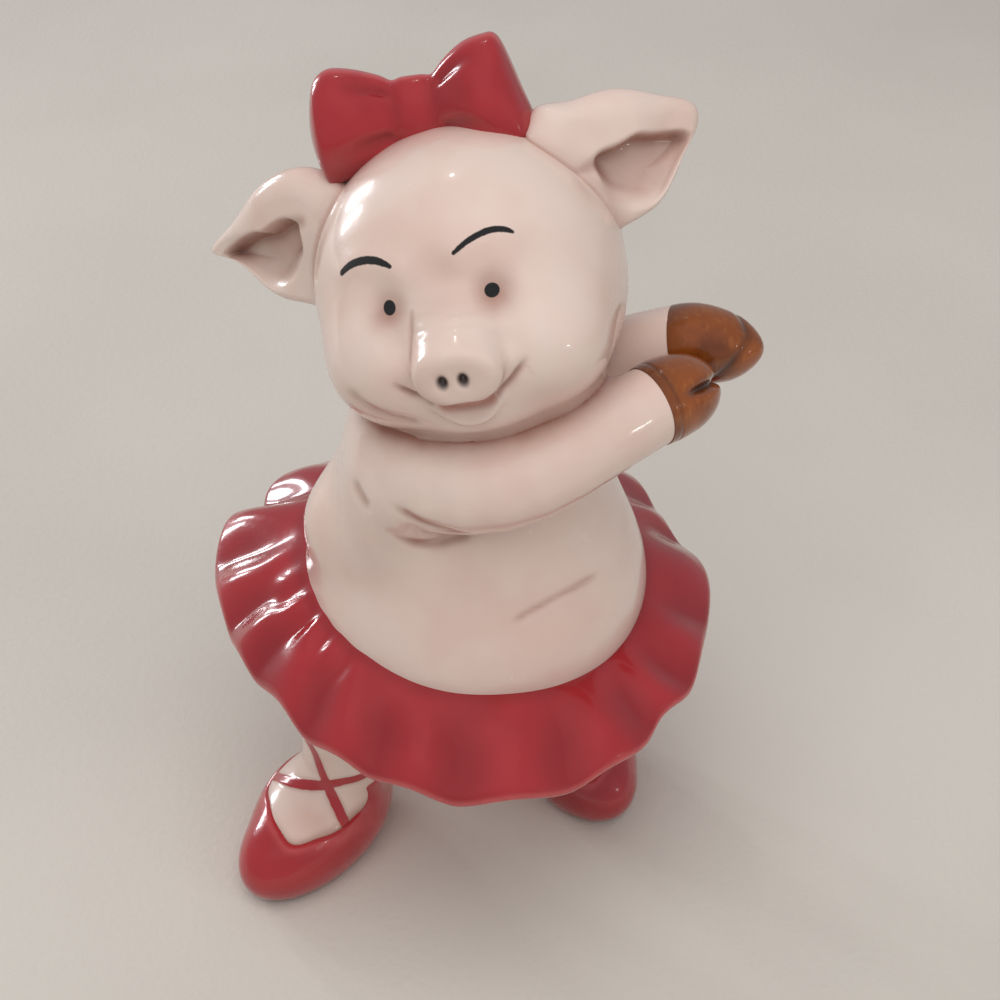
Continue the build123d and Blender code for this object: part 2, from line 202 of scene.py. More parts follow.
def ray_fan(pole, across, rows, cols, crowd):
    """Unit rays over a sphere: rings of polar angles that crowd towards the pole by a power, even turns."""
    pole = unit(pole)
    across = unit(across - pole * (across @ pole))
    rise = np.cross(pole, across)
    polar = (np.pi * (np.arange(1, rows + 1) / (rows + 1)) ** crowd)[:, None, None]
    turn = np.linspace(0, 2 * np.pi, cols, endpoint=False)[None, :, None]
    return np.cos(polar) * pole + np.sin(polar) * (np.cos(turn) * across + np.sin(turn) * rise)


def add_object(name, data):
    """Object at the origin that shows a mesh, a light or a camera."""
    thing = bpy.data.objects.new(name, data)
    bpy.context.scene.collection.objects.link(thing)
    return thing


def lay_piece(name, rings, nodes, material, marks, hoop=False):
    """Mesh over rings of points (rings x round x 3): quads between neighbours, each ring closed on itself.
    A hoop's last ring meets its first, and any other piece ends in fans to the middles of its end rings.
    Marks are numbers at the points for the materials. The sign of the volume turns the faces outwards."""
    rows, cols = rings.shape[:2]
    points = rings.reshape(-1, 3)
    below = (np.arange(rows if hoop else rows - 1) * cols)[:, None]
    above = (below + cols) % (rows * cols)
    j = np.arange(cols)[None]
    k = (j + 1) % cols
    quads = np.stack([below + j, below + k, above + k, above + j], axis=-1).reshape(-1, 4)
    fans = np.zeros((0, 3), int)
    if not hoop:
        points = np.vstack([points, rings[0].mean(axis=0), rings[-1].mean(axis=0)])
        last = (rows - 1) * cols
        first_middle = np.full(cols, rows * cols)
        first_fan = np.stack([first_middle, k[0], j[0]], axis=-1)
        last_fan = np.stack([first_middle + 1, last + j[0], last + k[0]], axis=-1)
        fans = np.concatenate([first_fan, last_fan])
    tris = np.concatenate([quads[:, [0, 1, 2]], quads[:, [0, 2, 3]], fans])
    corner = points[tris]
    volume = np.einsum("ij,ij->i", corner[:, 0], np.cross(corner[:, 1], corner[:, 2])).sum()
    if volume < 0:
        quads = quads[:, ::-1]
        fans = fans[:, ::-1]
    mesh = bpy.data.meshes.new(name)
    mesh.from_pydata((points * MILLIMETRE).tolist(), [], quads.tolist() + fans.tolist())
    mesh.polygons.foreach_set("use_smooth", np.ones(len(mesh.polygons), bool))
    for mark, value in marks.items():
        value = np.broadcast_to(value, rings.shape[:2])
        flat = value.reshape(-1)
        if not hoop:
            flat = np.concatenate([flat, [value[0].mean(), value[-1].mean()]])
        mesh.attributes.new(mark, "FLOAT", "POINT").data.foreach_set("value", flat.astype(np.float32))
    mesh.update()
    mesh.materials.append(material)
    piece = add_object(name, mesh)
    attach(piece, "root")
    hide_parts(*nodes)


# The head, turned to the viewer's left and tipped back. Its places are points of its own frame.
HEAD_CENTRE = np.array([0.0, 1.0, 83.0])
HEAD_TURN = turned("z", -7) @ turned("x", -23) @ turned("y", -12)
HEAD_RADIUS = 17.6
SNOUT_ROOT = np.array([0.2, -12.2, -2.2])
SNOUT_DISC = np.array([0.3, -21.9, -6.6])
SNOUT_LENGTH = length_of(SNOUT_DISC - SNOUT_ROOT)
SNOUT_AXIS = unit(SNOUT_DISC - SNOUT_ROOT)
EYES = ((-6.87, -16.55, 1.06), (4.75, -16.91, 1.46))
EYE_RADII = ((0.72, 1.6, 0.84), (0.84, 1.6, 0.8))
BROWS = (
    (
        (-11.33, -12.53, 4.84), (-10.05, -13.27, 5.63), (-8.15, -14.36, 6.01), (-6.53, -15.29, 5.71),
        (-5.58, -15.79, 5.19),
    ),
    (
        (1.24, -16.52, 5.77), (3.05, -15.9, 6.76), (5.13, -15.12, 7.28), (6.61, -14.65, 7.04),
        (7.27, -14.51, 6.67),
    ),
)
BROW_HALF_WIDTHS = ((0.34, 0.44, 0.44, 0.38, 0.24), (0.24, 0.33, 0.36, 0.32, 0.18))
BRIDGE = (-0.9, -16.8, 4.0)
FURROWS = ((-5.9, -18.1, -3.1), (4.9, -18.9, -3.9))
NOSTRILS = ((-1.29, -21.91, -6.48), (0.9, -21.93, -6.46))
NOSTRIL_DENT = (0.55, 2.0, 0.75)
NOSTRIL_PAINT = (0.68, 2.0, 0.95)
SMILE = (
    ((3.6, -17.6, -9.2), (5.3, -17.8, -7.9), (6.3, -18.1, -6.9), (7.1, -18.2, -6.0), (7.7, -18.2, -6.2)),
    ((-3.6, -17.6, -9.2), (-5.4, -17.6, -8.2), (-6.3, -17.9, -7.5), (-7.0, -18.1, -6.8), (-7.6, -18.1, -6.4)),
)
LOWER_LIP = smooth_line((
    (-3.45, -17.34, -9.51), (-1.94, -16.85, -10.93), (0.01, -16.51, -11.82), (2.28, -16.73, -11.25),
    (3.7, -17.49, -9.58),
))
UNDER_LIP = LOWER_LIP + (0, 0.4, -1.5)
SNOUT_CREASE = ((-4.0, -17.5, 0.4), (-4.3, -18.0, -1.0), (-4.7, -18.7, -2.6), (-4.9, -19.2, -4.3))
JOWL_CREASE = ((-11.7, -16.01, -7.74), (-9.44, -16.01, -9.69), (-6.41, -15.12, -11.42))


def to_head(p):
    """Points of the CAD frame in the head's own frame."""
    return (p - HEAD_CENTRE) @ HEAD_TURN


def from_head(q):
    """Points of the head's own frame in the CAD frame."""
    return q @ HEAD_TURN.T + HEAD_CENTRE


def snout_form(q):
    """Distance to the snout: an oval cone that narrows towards its disc, cut off round-edged at the disc and
    ending inside the head."""
    side = np.array([1.0, 0, 0])
    up = np.cross(SNOUT_AXIS, side)
    v = q - SNOUT_ROOT
    t = v @ SNOUT_AXIS
    share = np.clip(t / SNOUT_LENGTH, -0.3, 1.1)
    wide = 6.3 - 1.8 * share
    high = 6.2 - 2.8 * share
    cone = (np.hypot((v @ side) / wide, (v @ up) / high) - 1) * np.minimum(wide, high)
    edge_soft = 1.3
    inner_end = -4.0
    return np.maximum(-joined(-cone, SNOUT_LENGTH - t, edge_soft), inner_end - t)


def head_base(q):
    """Distance to the plain head: a ball, two oval cheeks, an oval chin and the snout, run together."""
    mirrored = np.concatenate([np.abs(q[..., :1]), q[..., 1:]], axis=-1)
    cheeks = oval(mirrored, (7.3, -9.6, -5.6), (8.0, 8.6, 7.2))
    chin = oval(q, (0.3, -11.6, -9.6), (6.4, 5.6, 4.6))
    f = joined(ball(q, (0, 0, 0), HEAD_RADIUS), cheeks, 4.0)
    f = joined(f, chin, 3.0)
    return joined(f, snout_form(q), 1.8)


def head_form(p):
    """Distance to the plain head in the CAD frame."""
    return head_base(to_head(p))


# Each ear's side of the head, the height of its root and its lift in degrees.
RIGHT_EAR_SEAT = (-1, 7.2, -4)
LEFT_EAR_SEAT = (1, 10.4, 17)


def stand_ear(local, side, above, lift):
    """Points of an ear's own plane in the head's frame: stood up, lifted, turned and set on the head."""
    stand = turned("z", side * 18) @ turned("y", -side * lift) @ turned("x", 90)
    return np.asarray(local, float) @ stand.T + np.array([side * 14.6, 1.0, above])


EAR_ROOTS = (
    stand_ear(((0.2, 7.0, -0.6), (0.8, 1.0, -0.6), (0.0, -5.4, -0.6)), *RIGHT_EAR_SEAT),
    stand_ear(((-1.8, 7.6, -0.6), (-1.2, 2.0, -0.6), (-0.4, -5.2, -0.6)), *LEFT_EAR_SEAT),
)

# Modelling of the face: a place or a line, then the height in millimetres and the width of the bell over it.
RELIEF_SPOTS = (
    *((eye, -1.15, 2.5) for eye in EYES),
    *((eye, 0.2, 0.8) for eye in EYES),
    (BRIDGE, -0.7, 3.2),
    *((furrow, -0.6, 1.8) for furrow in FURROWS),
)
RELIEF_LINES = (
    *((brow, 0.28, 1.6) for brow in BROWS),
    *((root, 0.9, 2.2) for root in EAR_ROOTS),
    (JOWL_CREASE, -0.35, 0.7),
    (LOWER_LIP, 0.6, 0.75),
    (UNDER_LIP, -0.3, 0.7),
)

# Red-brown on the face, partly the figure's own wash and partly painted shade in the eye dips, over the
# bridge, at the ear roots
# and in the creases: a place or a line, then the strength and the width of the bell over it.
BLUSH_AND_SHADE_SPOTS = (
    *((np.array(eye) + (0, 0, -0.5), 0.65, 2.6) for eye in EYES),
    ((-0.9, -16.0, 3.0), 0.22, 5.0),
)
BLUSH_AND_SHADE_LINES = (
    *((root, 0.4, 3.0) for root in EAR_ROOTS),
    (SNOUT_CREASE, 0.4, 0.6),
    (JOWL_CREASE, 0.5, 1.1),
)


# The body: a pear, an arm crossing the chest and an arm held out behind the cheek.
UPPER_ARM = np.array([(-6.5, -5.0, 66.0), (-8.0, -8.8, 57.0)])
UPPER_ARM_RADII = (6.4, 6.4)
FLANK_CENTRE = (-10.7, -3.4, 51.8)
FLANK_RADII = (9.8, 8.3, 7.5)
PEAR_Z = (27.5, 30.3, 40.5, 52.5, 64.0, 72.5, 77.0)
PEAR_RADIUS_SQUARED = (0.0, 205.0, 476.0, 335.0, 221.0, 110.0, 0.0)
RIGHT_WRIST = (20.4, -8.4, 73.0)
LEFT_WRIST = (24.6, 4.6, 72.2)
ARM_SHARE = np.linspace(0, 1, 13)
RIGHT_ARM_KNOTS = (0, 0.17, 0.34, 0.54, 0.75, 1)
RIGHT_ARM = spline_through(
    RIGHT_ARM_KNOTS,
    (
        (-5.7, -6.0, 63.9), (-6.4, -11.0, 65.2), (-3.2, -15.3, 67.0), (4.6, -16.2, 68.4), (12.6, -13.4, 71.2),
        RIGHT_WRIST,
    ),
    ARM_SHARE,
)
RIGHT_ARM_RADII = np.interp(ARM_SHARE, RIGHT_ARM_KNOTS, (5.2, 5.6, 5.4, 5.3, 4.8, 4.6))
LEFT_ARM_KNOTS = (0, 0.42, 1)
LEFT_ARM = spline_through(LEFT_ARM_KNOTS, ((8.0, 3.0, 65.0), (15.0, 5.2, 68.0), LEFT_WRIST), ARM_SHARE)
LEFT_ARM_RADII = np.interp(ARM_SHARE, LEFT_ARM_KNOTS, (6.2, 5.3, 4.7))
BELLY_CREASE = (
    (3.8, -19.2, 49.2), (6.7, -18.0, 50.2), (9.6, -16.3, 50.8), (12.6, -14.1, 50.9), (15.7, -10.9, 50.4),
)
FORK_CREASE = smooth_line((
    (-8.7, -17.4, 61.6), (-7.4, -17.2, 60.4), (-5.8, -16.6, 59.5), (-4.1, -16.3, 59.2), (-2.4, -16.1, 59.6),
    (-0.9, -16.0, 60.1),
))
ARM_CREASE = smooth_line((
    (-8.5, -18.3, 66.2), (-7.1, -19.1, 65.9), (-5.6, -19.9, 65.6), (-3.4, -20.4, 64.9), (-1.2, -20.4, 64.2),
))
ARM_DIMPLE = ((-12.9, -13.7, 65.2), (-12.0, -15.0, 64.3))

# Creases: widths over which forms run together, the gap to the other piece and the reach of a fillet.
JAW_SOFT = 3.0
ARM_SOFT = 2.4
CREASE_GAP = 0.05
FILLET_REACH = 1.0


def pear(p):
    """Near distance to the pear: the squared radius is a spline of the height."""
    r2 = spline_through(PEAR_Z, PEAR_RADIUS_SQUARED, p[..., 2])
    rho2 = p[..., 0] ** 2 + p[..., 1] ** 2
    return (rho2 - r2) / (np.sqrt(rho2) + np.sqrt(np.maximum(r2, 1.0)))


def trunk_form(p):
    """Near distance to the pear run into the full right flank and into the upper arm that lies against it."""
    f = joined(pear(p), oval(p, FLANK_CENTRE, FLANK_RADII), 4.0)
    return joined(f, limb(p, UPPER_ARM, UPPER_ARM_RADII), 5.0)


def right_arm_form(p):
    """Distance to the arm across the chest."""
    return limb(p, RIGHT_ARM, RIGHT_ARM_RADII)


def left_arm_form(p):
    """Distance to the arm behind the cheek."""
    return limb(p, LEFT_ARM, LEFT_ARM_RADII)


def shoulder_soft(p):
    """Width over which the right arm runs into the trunk: narrow on the chest, wide at the shoulder."""
    return 1.8 + 6.0 * ease((-2.0 - p[..., 0]) / 8.0)


def math_node(operation, swapped=False):
    """Operator that adds a Math node to a tone's glaze, with the tone as its second input where swapped."""

    def operator(tone, other):
        pair = (other, tone) if swapped else (tone, other)
        return tone.glaze.node("ShaderNodeMath", {"operation": operation}, dict(enumerate(pair)))

    return operator


class Tone:
    """A number or colour on a node's output. Sums, differences, products and quotients add Math nodes."""

    def __init__(self, glaze, socket):
        self.glaze = glaze
        self.socket = socket

    __add__ = math_node("ADD")
    __radd__ = math_node("ADD", True)
    __sub__ = math_node("SUBTRACT")
    __rsub__ = math_node("SUBTRACT", True)
    __mul__ = math_node("MULTIPLY")
    __rmul__ = math_node("MULTIPLY", True)
    __truediv__ = math_node("DIVIDE")
    __rtruediv__ = math_node("DIVIDE", True)


class Glaze:
    """One ceramic glaze: a material whose nodes are added by node(type, settings, inputs)."""

    def __init__(self, name):
        self.material = bpy.data.materials.new(name)
        self.material.use_nodes = True
        self.tree = self.material.node_tree
        self.tree.nodes.clear()
        self.place = self.node("ShaderNodeTexCoord", {}, {}, "Object")

    def node(self, kind, settings, inputs, out=0):
        """Adds a node, sets it, then fills or links its inputs, and returns the output that is asked for."""
        node = self.tree.nodes.new(kind)
        for key, value in settings.items():
            setattr(node, key, value)
        for key, value in inputs.items():
            if isinstance(value, Tone):
                self.tree.links.new(value.socket, node.inputs[key])
            else:
                node.inputs[key].default_value = value
        return Tone(self, node.outputs[out]) if len(node.outputs) else node

    def mark(self, name):
        """The number that the piece carries at its points under this name."""
        return self.node("ShaderNodeAttribute", {"attribute_name": name}, {}, "Fac")

    def noise(self, scale, detail=2.0, stretch=None, turn=(0, 0, 0)):
        """Cloudy noise in object coordinates, stretched and turned where asked."""
        place = self.place
        if stretch is not None:
            place = self.node("ShaderNodeMapping", {}, {"Vector": place, "Rotation": turn, "Scale": stretch})
        return self.node("ShaderNodeTexNoise", {}, {"Vector": place, "Scale": scale, "Detail": detail})

    def between(self, value, low, high):
        """0 below low, 1 above high, eased between them."""
        limits = {"Value": value, "From Min": low, "From Max": high}
        return self.node("ShaderNodeMapRange", {"interpolation_type": "SMOOTHSTEP"}, limits)

    def mix(self, share, first, second):
        """A colour between two others."""
        return self.node("ShaderNodeMix", {"data_type": "RGBA"}, {0: share, 6: first, 7: second}, 2)

    def fire(self, colour, roughness, relief, depth, coat=0.6):
        """The shader: colour and roughness vary, relief times depth is a bump, a clear coat lies on top."""
        normal = self.node("ShaderNodeBump", {}, {"Strength": 1.0, "Distance": depth, "Height": relief})
        looks = {"Base Color": colour, "Roughness": roughness, "Normal": normal}
        looks.update({"Coat Weight": coat, "Coat Roughness": 0.06, "IOR": 1.5})
        shader = self.node("ShaderNodeBsdfPrincipled", {}, looks)
        self.node("ShaderNodeOutputMaterial", {}, {"Surface": shader})
        return self.material


def paint(red, green, blue):
    """A screen colour of 0 to 255 as linear light, by the two-part screen curve."""
    c = np.array([red, green, blue]) / 255
    c = np.where(c <= 0.04045, c / 12.92, ((c + 0.055) / 1.055) ** 2.4)
    return (*c.tolist(), 1.0)


PALE_SKIN = paint(230, 208, 197)
WARM_SKIN = paint(224, 194, 181)
# Red-brown of the creases: partly the figure's own airbrushed wash, partly painted shade where the creases
# fall into shadow.
CREASE_BLUSH_AND_SHADE = paint(148, 88, 65)
RED_BODY = paint(170, 37, 45)
# Dark red of glaze pooled in hollows, also laid on as painted shade in valleys, folds and near the floor.
RED_POOL_AND_SHADE = paint(128, 18, 24)
RED_THIN = paint(200, 82, 84)
BROWN_BODY = paint(152, 78, 22)
BROWN_POOL = paint(118, 52, 12)
BROWN_THIN = paint(178, 108, 44)
# Dark brown laid on as painted shade in the trotters' clefts, beside the other trotter and on their shaded
# side.
CLEFT_SHADE_BROWN = paint(52, 22, 8)
BLACK_GLAZE = paint(13, 11, 11)
BROW_BLACK = paint(20, 16, 15)
NOSTRIL_GREY = paint(66, 54, 52)
MOUTH_PINK = paint(190, 122, 104)
FLOOR_LIGHT = paint(214, 207, 198)
FLOOR_DARK = paint(206, 199, 190)

# Depth of the ripple in the glaze, in metres.
RIPPLE_DEPTH = 0.00003


def skin_colour(glaze):
    """Pale pink clouded with a warmer pink, and a red-brown in the creases by their mark, partly the figure's
    own wash and partly painted shade.
    """
    clouds = glaze.between(glaze.noise(70.0, 3.0), 0.35, 0.7)
    wash_and_shade = glaze.mark("blush_and_shade") * (0.75 + 0.5 * glaze.noise(260.0, 2.0))
    skin = glaze.mix(clouds, PALE_SKIN, WARM_SKIN)
    return glaze.mix(glaze.between(wash_and_shade, 0.02, 1.05), skin, CREASE_BLUSH_AND_SHADE)


def fire_skin(glaze, colour, polish=0.0):
    """Shader of the pink glaze in a colour: fine ripple, a sheen that varies a little, smoother by polish."""
    ripple = glaze.noise(420.0, 2.0) + 0.4 * glaze.noise(1500.0, 1.0)
    return glaze.fire(colour, 0.2 + 0.1 * glaze.noise(300.0) - polish, ripple, RIPPLE_DEPTH)


def skin_glaze(name):
    """Pink glaze of body, arms and ears."""
    glaze = Glaze(name)
    return fire_skin(glaze, skin_colour(glaze))


def face_glaze(name):
    """Pink glaze with black eyes and brows, grey nostrils and a dark pink mouth, each by its own mark."""
    glaze = Glaze(name)
    colour = skin_colour(glaze)
    colour = glaze.mix(0.85 * glaze.mark("mouth"), colour, MOUTH_PINK)
    colour = glaze.mix(glaze.mark("nostril"), colour, NOSTRIL_GREY)
    brush = 0.12 * (glaze.noise(2600.0, 1.0) - 0.5)
    brow = 1 - glaze.between(glaze.mark("brow") + brush, -0.07, 0.07)
    colour = glaze.mix(brow, colour, BROW_BLACK)
    eye = 1 - glaze.between(glaze.mark("eye"), -0.06, 0.06)
    colour = glaze.mix(eye, colour, BLACK_GLAZE)
    return fire_skin(glaze, colour, 0.1 * eye)


def leg_glaze(name):
    """Pink glaze of the legs with crossed red slipper ribbons inside the ribbon mark."""
    glaze = Glaze(name)
    brush = 0.2 * (glaze.noise(1200.0) - 0.5)
    ribbon = 1 - glaze.between(glaze.mark("ribbon") + brush, -0.08, 0.08)
    return fire_skin(glaze, glaze.mix(ribbon, skin_colour(glaze), RED_BODY))


def red_glaze(name):
    """Red glaze that darkens in the hollows, partly where the glaze pools and partly as painted shade, and
    thins to a lighter red over edges, by two marks.
    """
    glaze = Glaze(name)
    clouds = glaze.between(glaze.noise(110.0, 3.0), 0.35, 0.75)
    body = glaze.mix(0.35 * clouds, RED_BODY, RED_POOL_AND_SHADE)
    # Dark red by the pool mark: pooled glaze and painted shade.
    body = glaze.mix(glaze.mark("pool_and_shade"), body, RED_POOL_AND_SHADE)
    body = glaze.mix(glaze.mark("edge") * (0.5 + glaze.noise(500.0)), body, RED_THIN)
    ripple = glaze.noise(380.0, 2.0) + 0.5 * glaze.noise(1300.0, 1.0)
    return glaze.fire(body, 0.16 + 0.12 * glaze.noise(300.0), ripple, RIPPLE_DEPTH)


def hoof_glaze(name, turn):
    """Brown glaze brushed on in fine streaks, a little lighter between the strokes, and darker by the pool
    mark: pooled glaze and painted shade in the cleft, painted shade beside the other trotter, near the wrist
    and on one side.
    """
    glaze = Glaze(name)
    streaks = glaze.noise(700.0, 3.0, (2.2, 1.6, 0.5), (0, 0, turn))
    clouds = glaze.noise(240.0, 2.0)
    body = glaze.mix(0.7 * glaze.between(clouds, 0.35, 0.65), BROWN_BODY, BROWN_POOL)
    body = glaze.mix(0.45 * glaze.between(streaks, 0.5, 0.75), body, BROWN_THIN)
    # Painted shade and pooled glaze by the pool mark.
    body = glaze.mix(glaze.mark("pool_and_shade"), body, CLEFT_SHADE_BROWN)
    return glaze.fire(body, 0.17 + 0.12 * streaks, streaks, RIPPLE_DEPTH)


def blush_and_shade_beside(p, *forms):
    """The red-brown beside other pieces, partly the figure's own wash and partly painted shade where they
    meet: each distance fades it out over about a millimetre.
    """
    return np.maximum.reduce([fade(form(p), 1.4) for form in forms])


def belly_crease(p):
    """1 on the line of the belly crease, easing to 0 at its sides and at both ends."""
    d, along = near_path(p, BELLY_CREASE)
    return hump(d, 0.6) * ease(6 * along) * ease(6 - 6 * along)


def elbow_crease(p, line, width):
    """1 on the line of a crease at the elbow, easing to 0 at its sides and weaker at its start."""
    d, along = near_path(p, line)
    return hump(d, width) * ease(0.3 + 2 * along)


def body_blush_and_shade(p):
    """The red-brown on body and arms, partly the figure's own wash and partly painted shade: where arm and
    trunk meet, where both meet the jaw, and in the creases and the dimple. The sum of two distances is small
    only where the two forms meet."""
    arm = np.maximum(right_arm_form(p), 0)
    trunk = np.maximum(trunk_form(p), 0)
    other = np.maximum(left_arm_form(p), 0)
    on_chest = ease((p[..., 0] + 8.0) / 6.0)
    under_jaw = ease((80.0 - p[..., 2]) / 3.0)
    washes_and_shade = (
        np.minimum(1.3 * fade(arm + trunk, 1.3), 1) * on_chest,
        np.minimum(1.35 * fade(head_form(p), 1.5), 1) * under_jaw,
        0.6 * fade(other + np.minimum(arm, trunk), 0.9),
        0.5 * belly_crease(p),
        0.75 * elbow_crease(p, FORK_CREASE, 0.85),
        0.8 * elbow_crease(p, ARM_CREASE, 0.85),
        0.6 * hump(near_path(p, ARM_DIMPLE)[0], 1.0),
    )
    return np.maximum.reduce(washes_and_shade)


def body_relief(p):
    """Modelling of body and arms, in millimetres in or out: the creases and the dimple."""
    creases = elbow_crease(p, FORK_CREASE, 0.75) + elbow_crease(p, ARM_CREASE, 0.75)
    return -0.3 * belly_crease(p) - 0.45 * creases - 0.4 * hump(near_path(p, ARM_DIMPLE)[0], 1.05)


def mouth_share(q):
    """1 in the open mouth between the snout's underside and the lower lip, easing to 0 at its oval rim."""
    return ease(-oval(q, (0.3, -18.0, -9.5), (3.3, 3.0, 1.35)) / 0.7 + 0.2)


def snout_wrinkles(q):
    """Fine bent waves across the bridge of the snout, 1 high, that fade out at its sides and ends."""
    t = (q - SNOUT_ROOT) @ SNOUT_AXIS
    above = ease((q[..., 2] + 3.6) / 2.0) * ease((1.6 - q[..., 2]) / 1.6) * hump(q[..., 0] - 0.2, 3.4)
    wave = np.cos(2 * np.pi * t / 1.5 + 0.25 * q[..., 0] ** 2)
    return wave * above * ease((t - 2.4) / 1.0) * ease((8.6 - t) / 1.5)


def face_bells(q, spots, lines):
    """Bell curves over the places and the lines of two lists, each times its own height."""
    bells = [height * hump(gap_to(q, place), width) for place, height, width in spots]
    return bells + [height * hump(near_path(q, line)[0], width) for line, height, width in lines]


def head_relief(q):
    """Modelling of the face, in millimetres in or out along the rays: the listed bells, smile and snout
    crease, each a narrow line in a wider dip, nostrils, mouth and wrinkles."""
    relief = sum(face_bells(q, RELIEF_SPOTS, RELIEF_LINES))
    for smile in SMILE:
        d, along = near_path(q, smile)
        relief += (-0.4 * hump(d, 0.34) - 0.3 * hump(d, 1.0)) * ease(1.6 * (1.0 - along))
    d, along = near_path(q, SNOUT_CREASE)
    relief += (-0.4 * hump(d, 0.4) - 0.3 * hump(d, 1.1)) * ease(2 * along)
    for nostril in NOSTRILS:
        relief += -0.8 * hump(length_of((q - nostril) / NOSTRIL_DENT), 1.0)
    return relief - 0.4 * mouth_share(q) + 0.13 * snout_wrinkles(q)


def face_blush_and_shade(q, p):
    """The red-brown on the head, partly the figure's own wash and partly painted shade in its dips and
    creases, at places q of
    its own frame and p of the CAD frame: beside arms and body, in the smile, where the snout leaves the ball,
    and by the listed bells."""
    washes_and_shade = [np.minimum(1.2 * blush_and_shade_beside(p, right_arm_form, left_arm_form, trunk_form), 1)]
    for smile in SMILE:
        d, along = near_path(q, smile)
        washes_and_shade.append(0.7 * hump(d, 0.42) * ease(1.7 * (1.0 - along)))
    fold = np.abs(ball(q, (0, 0, 0), HEAD_RADIUS)) + np.abs(snout_form(q))
    washes_and_shade.append(0.4 * fade(fold, 1.6))
    return np.maximum.reduce(washes_and_shade + face_bells(q, BLUSH_AND_SHADE_SPOTS, BLUSH_AND_SHADE_LINES))


def make_head():
    """Head: rays from its centre, crowded towards the snout, stopped at the plain head and moved by the
    relief. Beside arms and neck they run on a little, to where head, arms and trunk together end."""
    longest = 34.0
    rays = ray_fan(SNOUT_DISC, (1, 0, 0), 235 // STEP, 400 // STEP, 1.6)
    reach = surface_along(head_base, np.zeros(3), rays, longest)
    q = reach[..., None] * rays

    def filled_form(at):
        p = from_head(at)
        arms = np.minimum(right_arm_form(p), left_arm_form(p))
        return joined(head_base(at), joined(arms, trunk_form(p), ARM_SOFT) + CREASE_GAP, JAW_SOFT)

    fillet = surface_along(filled_form, q, rays, FILLET_REACH, 4)
    p = from_head((reach + head_relief(q) + fillet)[..., None] * rays)
    eyes = [oval(q, eye, radii) for eye, radii in zip(EYES, EYE_RADII)]
    brows = [limb(q, smooth_line(brow), widths) for brow, widths in zip(BROWS, BROW_HALF_WIDTHS)]
    nostrils = [ease(1.6 - 1.3 * length_of((q - nostril) / NOSTRIL_PAINT)) for nostril in NOSTRILS]
    marks = {
        "eye": np.minimum.reduce(eyes),
        "brow": np.minimum.reduce(brows),
        "nostril": np.maximum.reduce(nostrils),
        "mouth": mouth_share(q),
        "blush_and_shade": face_blush_and_shade(q, p),
    }
    lay_piece("pig_head", p, ["head_shell"], face_glaze("face_pink_glaze"), marks)


def make_torso():
    """Body: rays from between the shoulders and the belly, stopped at the trunk run into the arms and the
    jaw, and moved by the relief. On the chest it lies a little under the arm's own surface."""
    start = np.array([-1.0, -3.0, 59.0])
    longest = 44.0
    rays = ray_fan((0, 0, 1), (1, 0, 0), 220 // STEP, 360 // STEP, 1.0)
    chest_part = slice(0, 9)
    shoulder_part = slice(0, 7)

    def torso_form(p):
        under_arm = 0.12 * ease((p[..., 0] + 6.0) / 5.0)
        across = limb(p, RIGHT_ARM[chest_part], RIGHT_ARM_RADII[chest_part]) + under_arm
        behind = limb(p, LEFT_ARM[shoulder_part], LEFT_ARM_RADII[shoulder_part] - 0.15)
        jaw = head_form(p) + 0.3 + 0.35 * np.maximum(p[..., 2] - 72.0, 0)
        f = joined(trunk_form(p), across, shoulder_soft(p))
        return joined(joined(f, behind, ARM_SOFT), jaw, 3.6)

    reach = surface_along(torso_form, start, rays, longest)
    reach = reach + body_relief(start + reach[..., None] * rays)
    p = start + reach[..., None] * rays
    marks = {"blush_and_shade": body_blush_and_shade(p)}
    lay_piece("pig_body", p, ["torso_shell"], skin_glaze("body_pink_glaze"), marks)


def tube(path, radii, rows, cols, round_start, round_end):
    """Rings along a spline through path: circles square to its slope, with radii splined along it. Over
    round_start and round_end, in millimetres, the radius swells from nothing as a quarter circle does."""
    path = np.asarray(path, float)
    knots = way_along(path)
    at = knots[-1] * crowded(rows)
    line = spline_through(knots, path, at)
    nudge = 0.05
    slope = spline_through(knots, path, at + nudge) - spline_through(knots, path, at - nudge)
    slope = unit(slope)
    side = unit(np.cross(slope, (0, 0, 1)))
    rise = np.cross(side, slope)
    tiny = 1e-6
    radius = spline_through(knots, radii, at) * quarter_round(at / max(round_start, tiny))
    radius = radius * quarter_round((knots[-1] - at) / max(round_end, tiny))
    turn = np.linspace(0, 2 * np.pi, cols, endpoint=False)
    circle = np.cos(turn)[None, :, None] * side[:, None] + np.sin(turn)[None, :, None] * rise[:, None]
    return line[:, None] + radius[:, None, None] * circle, at, turn


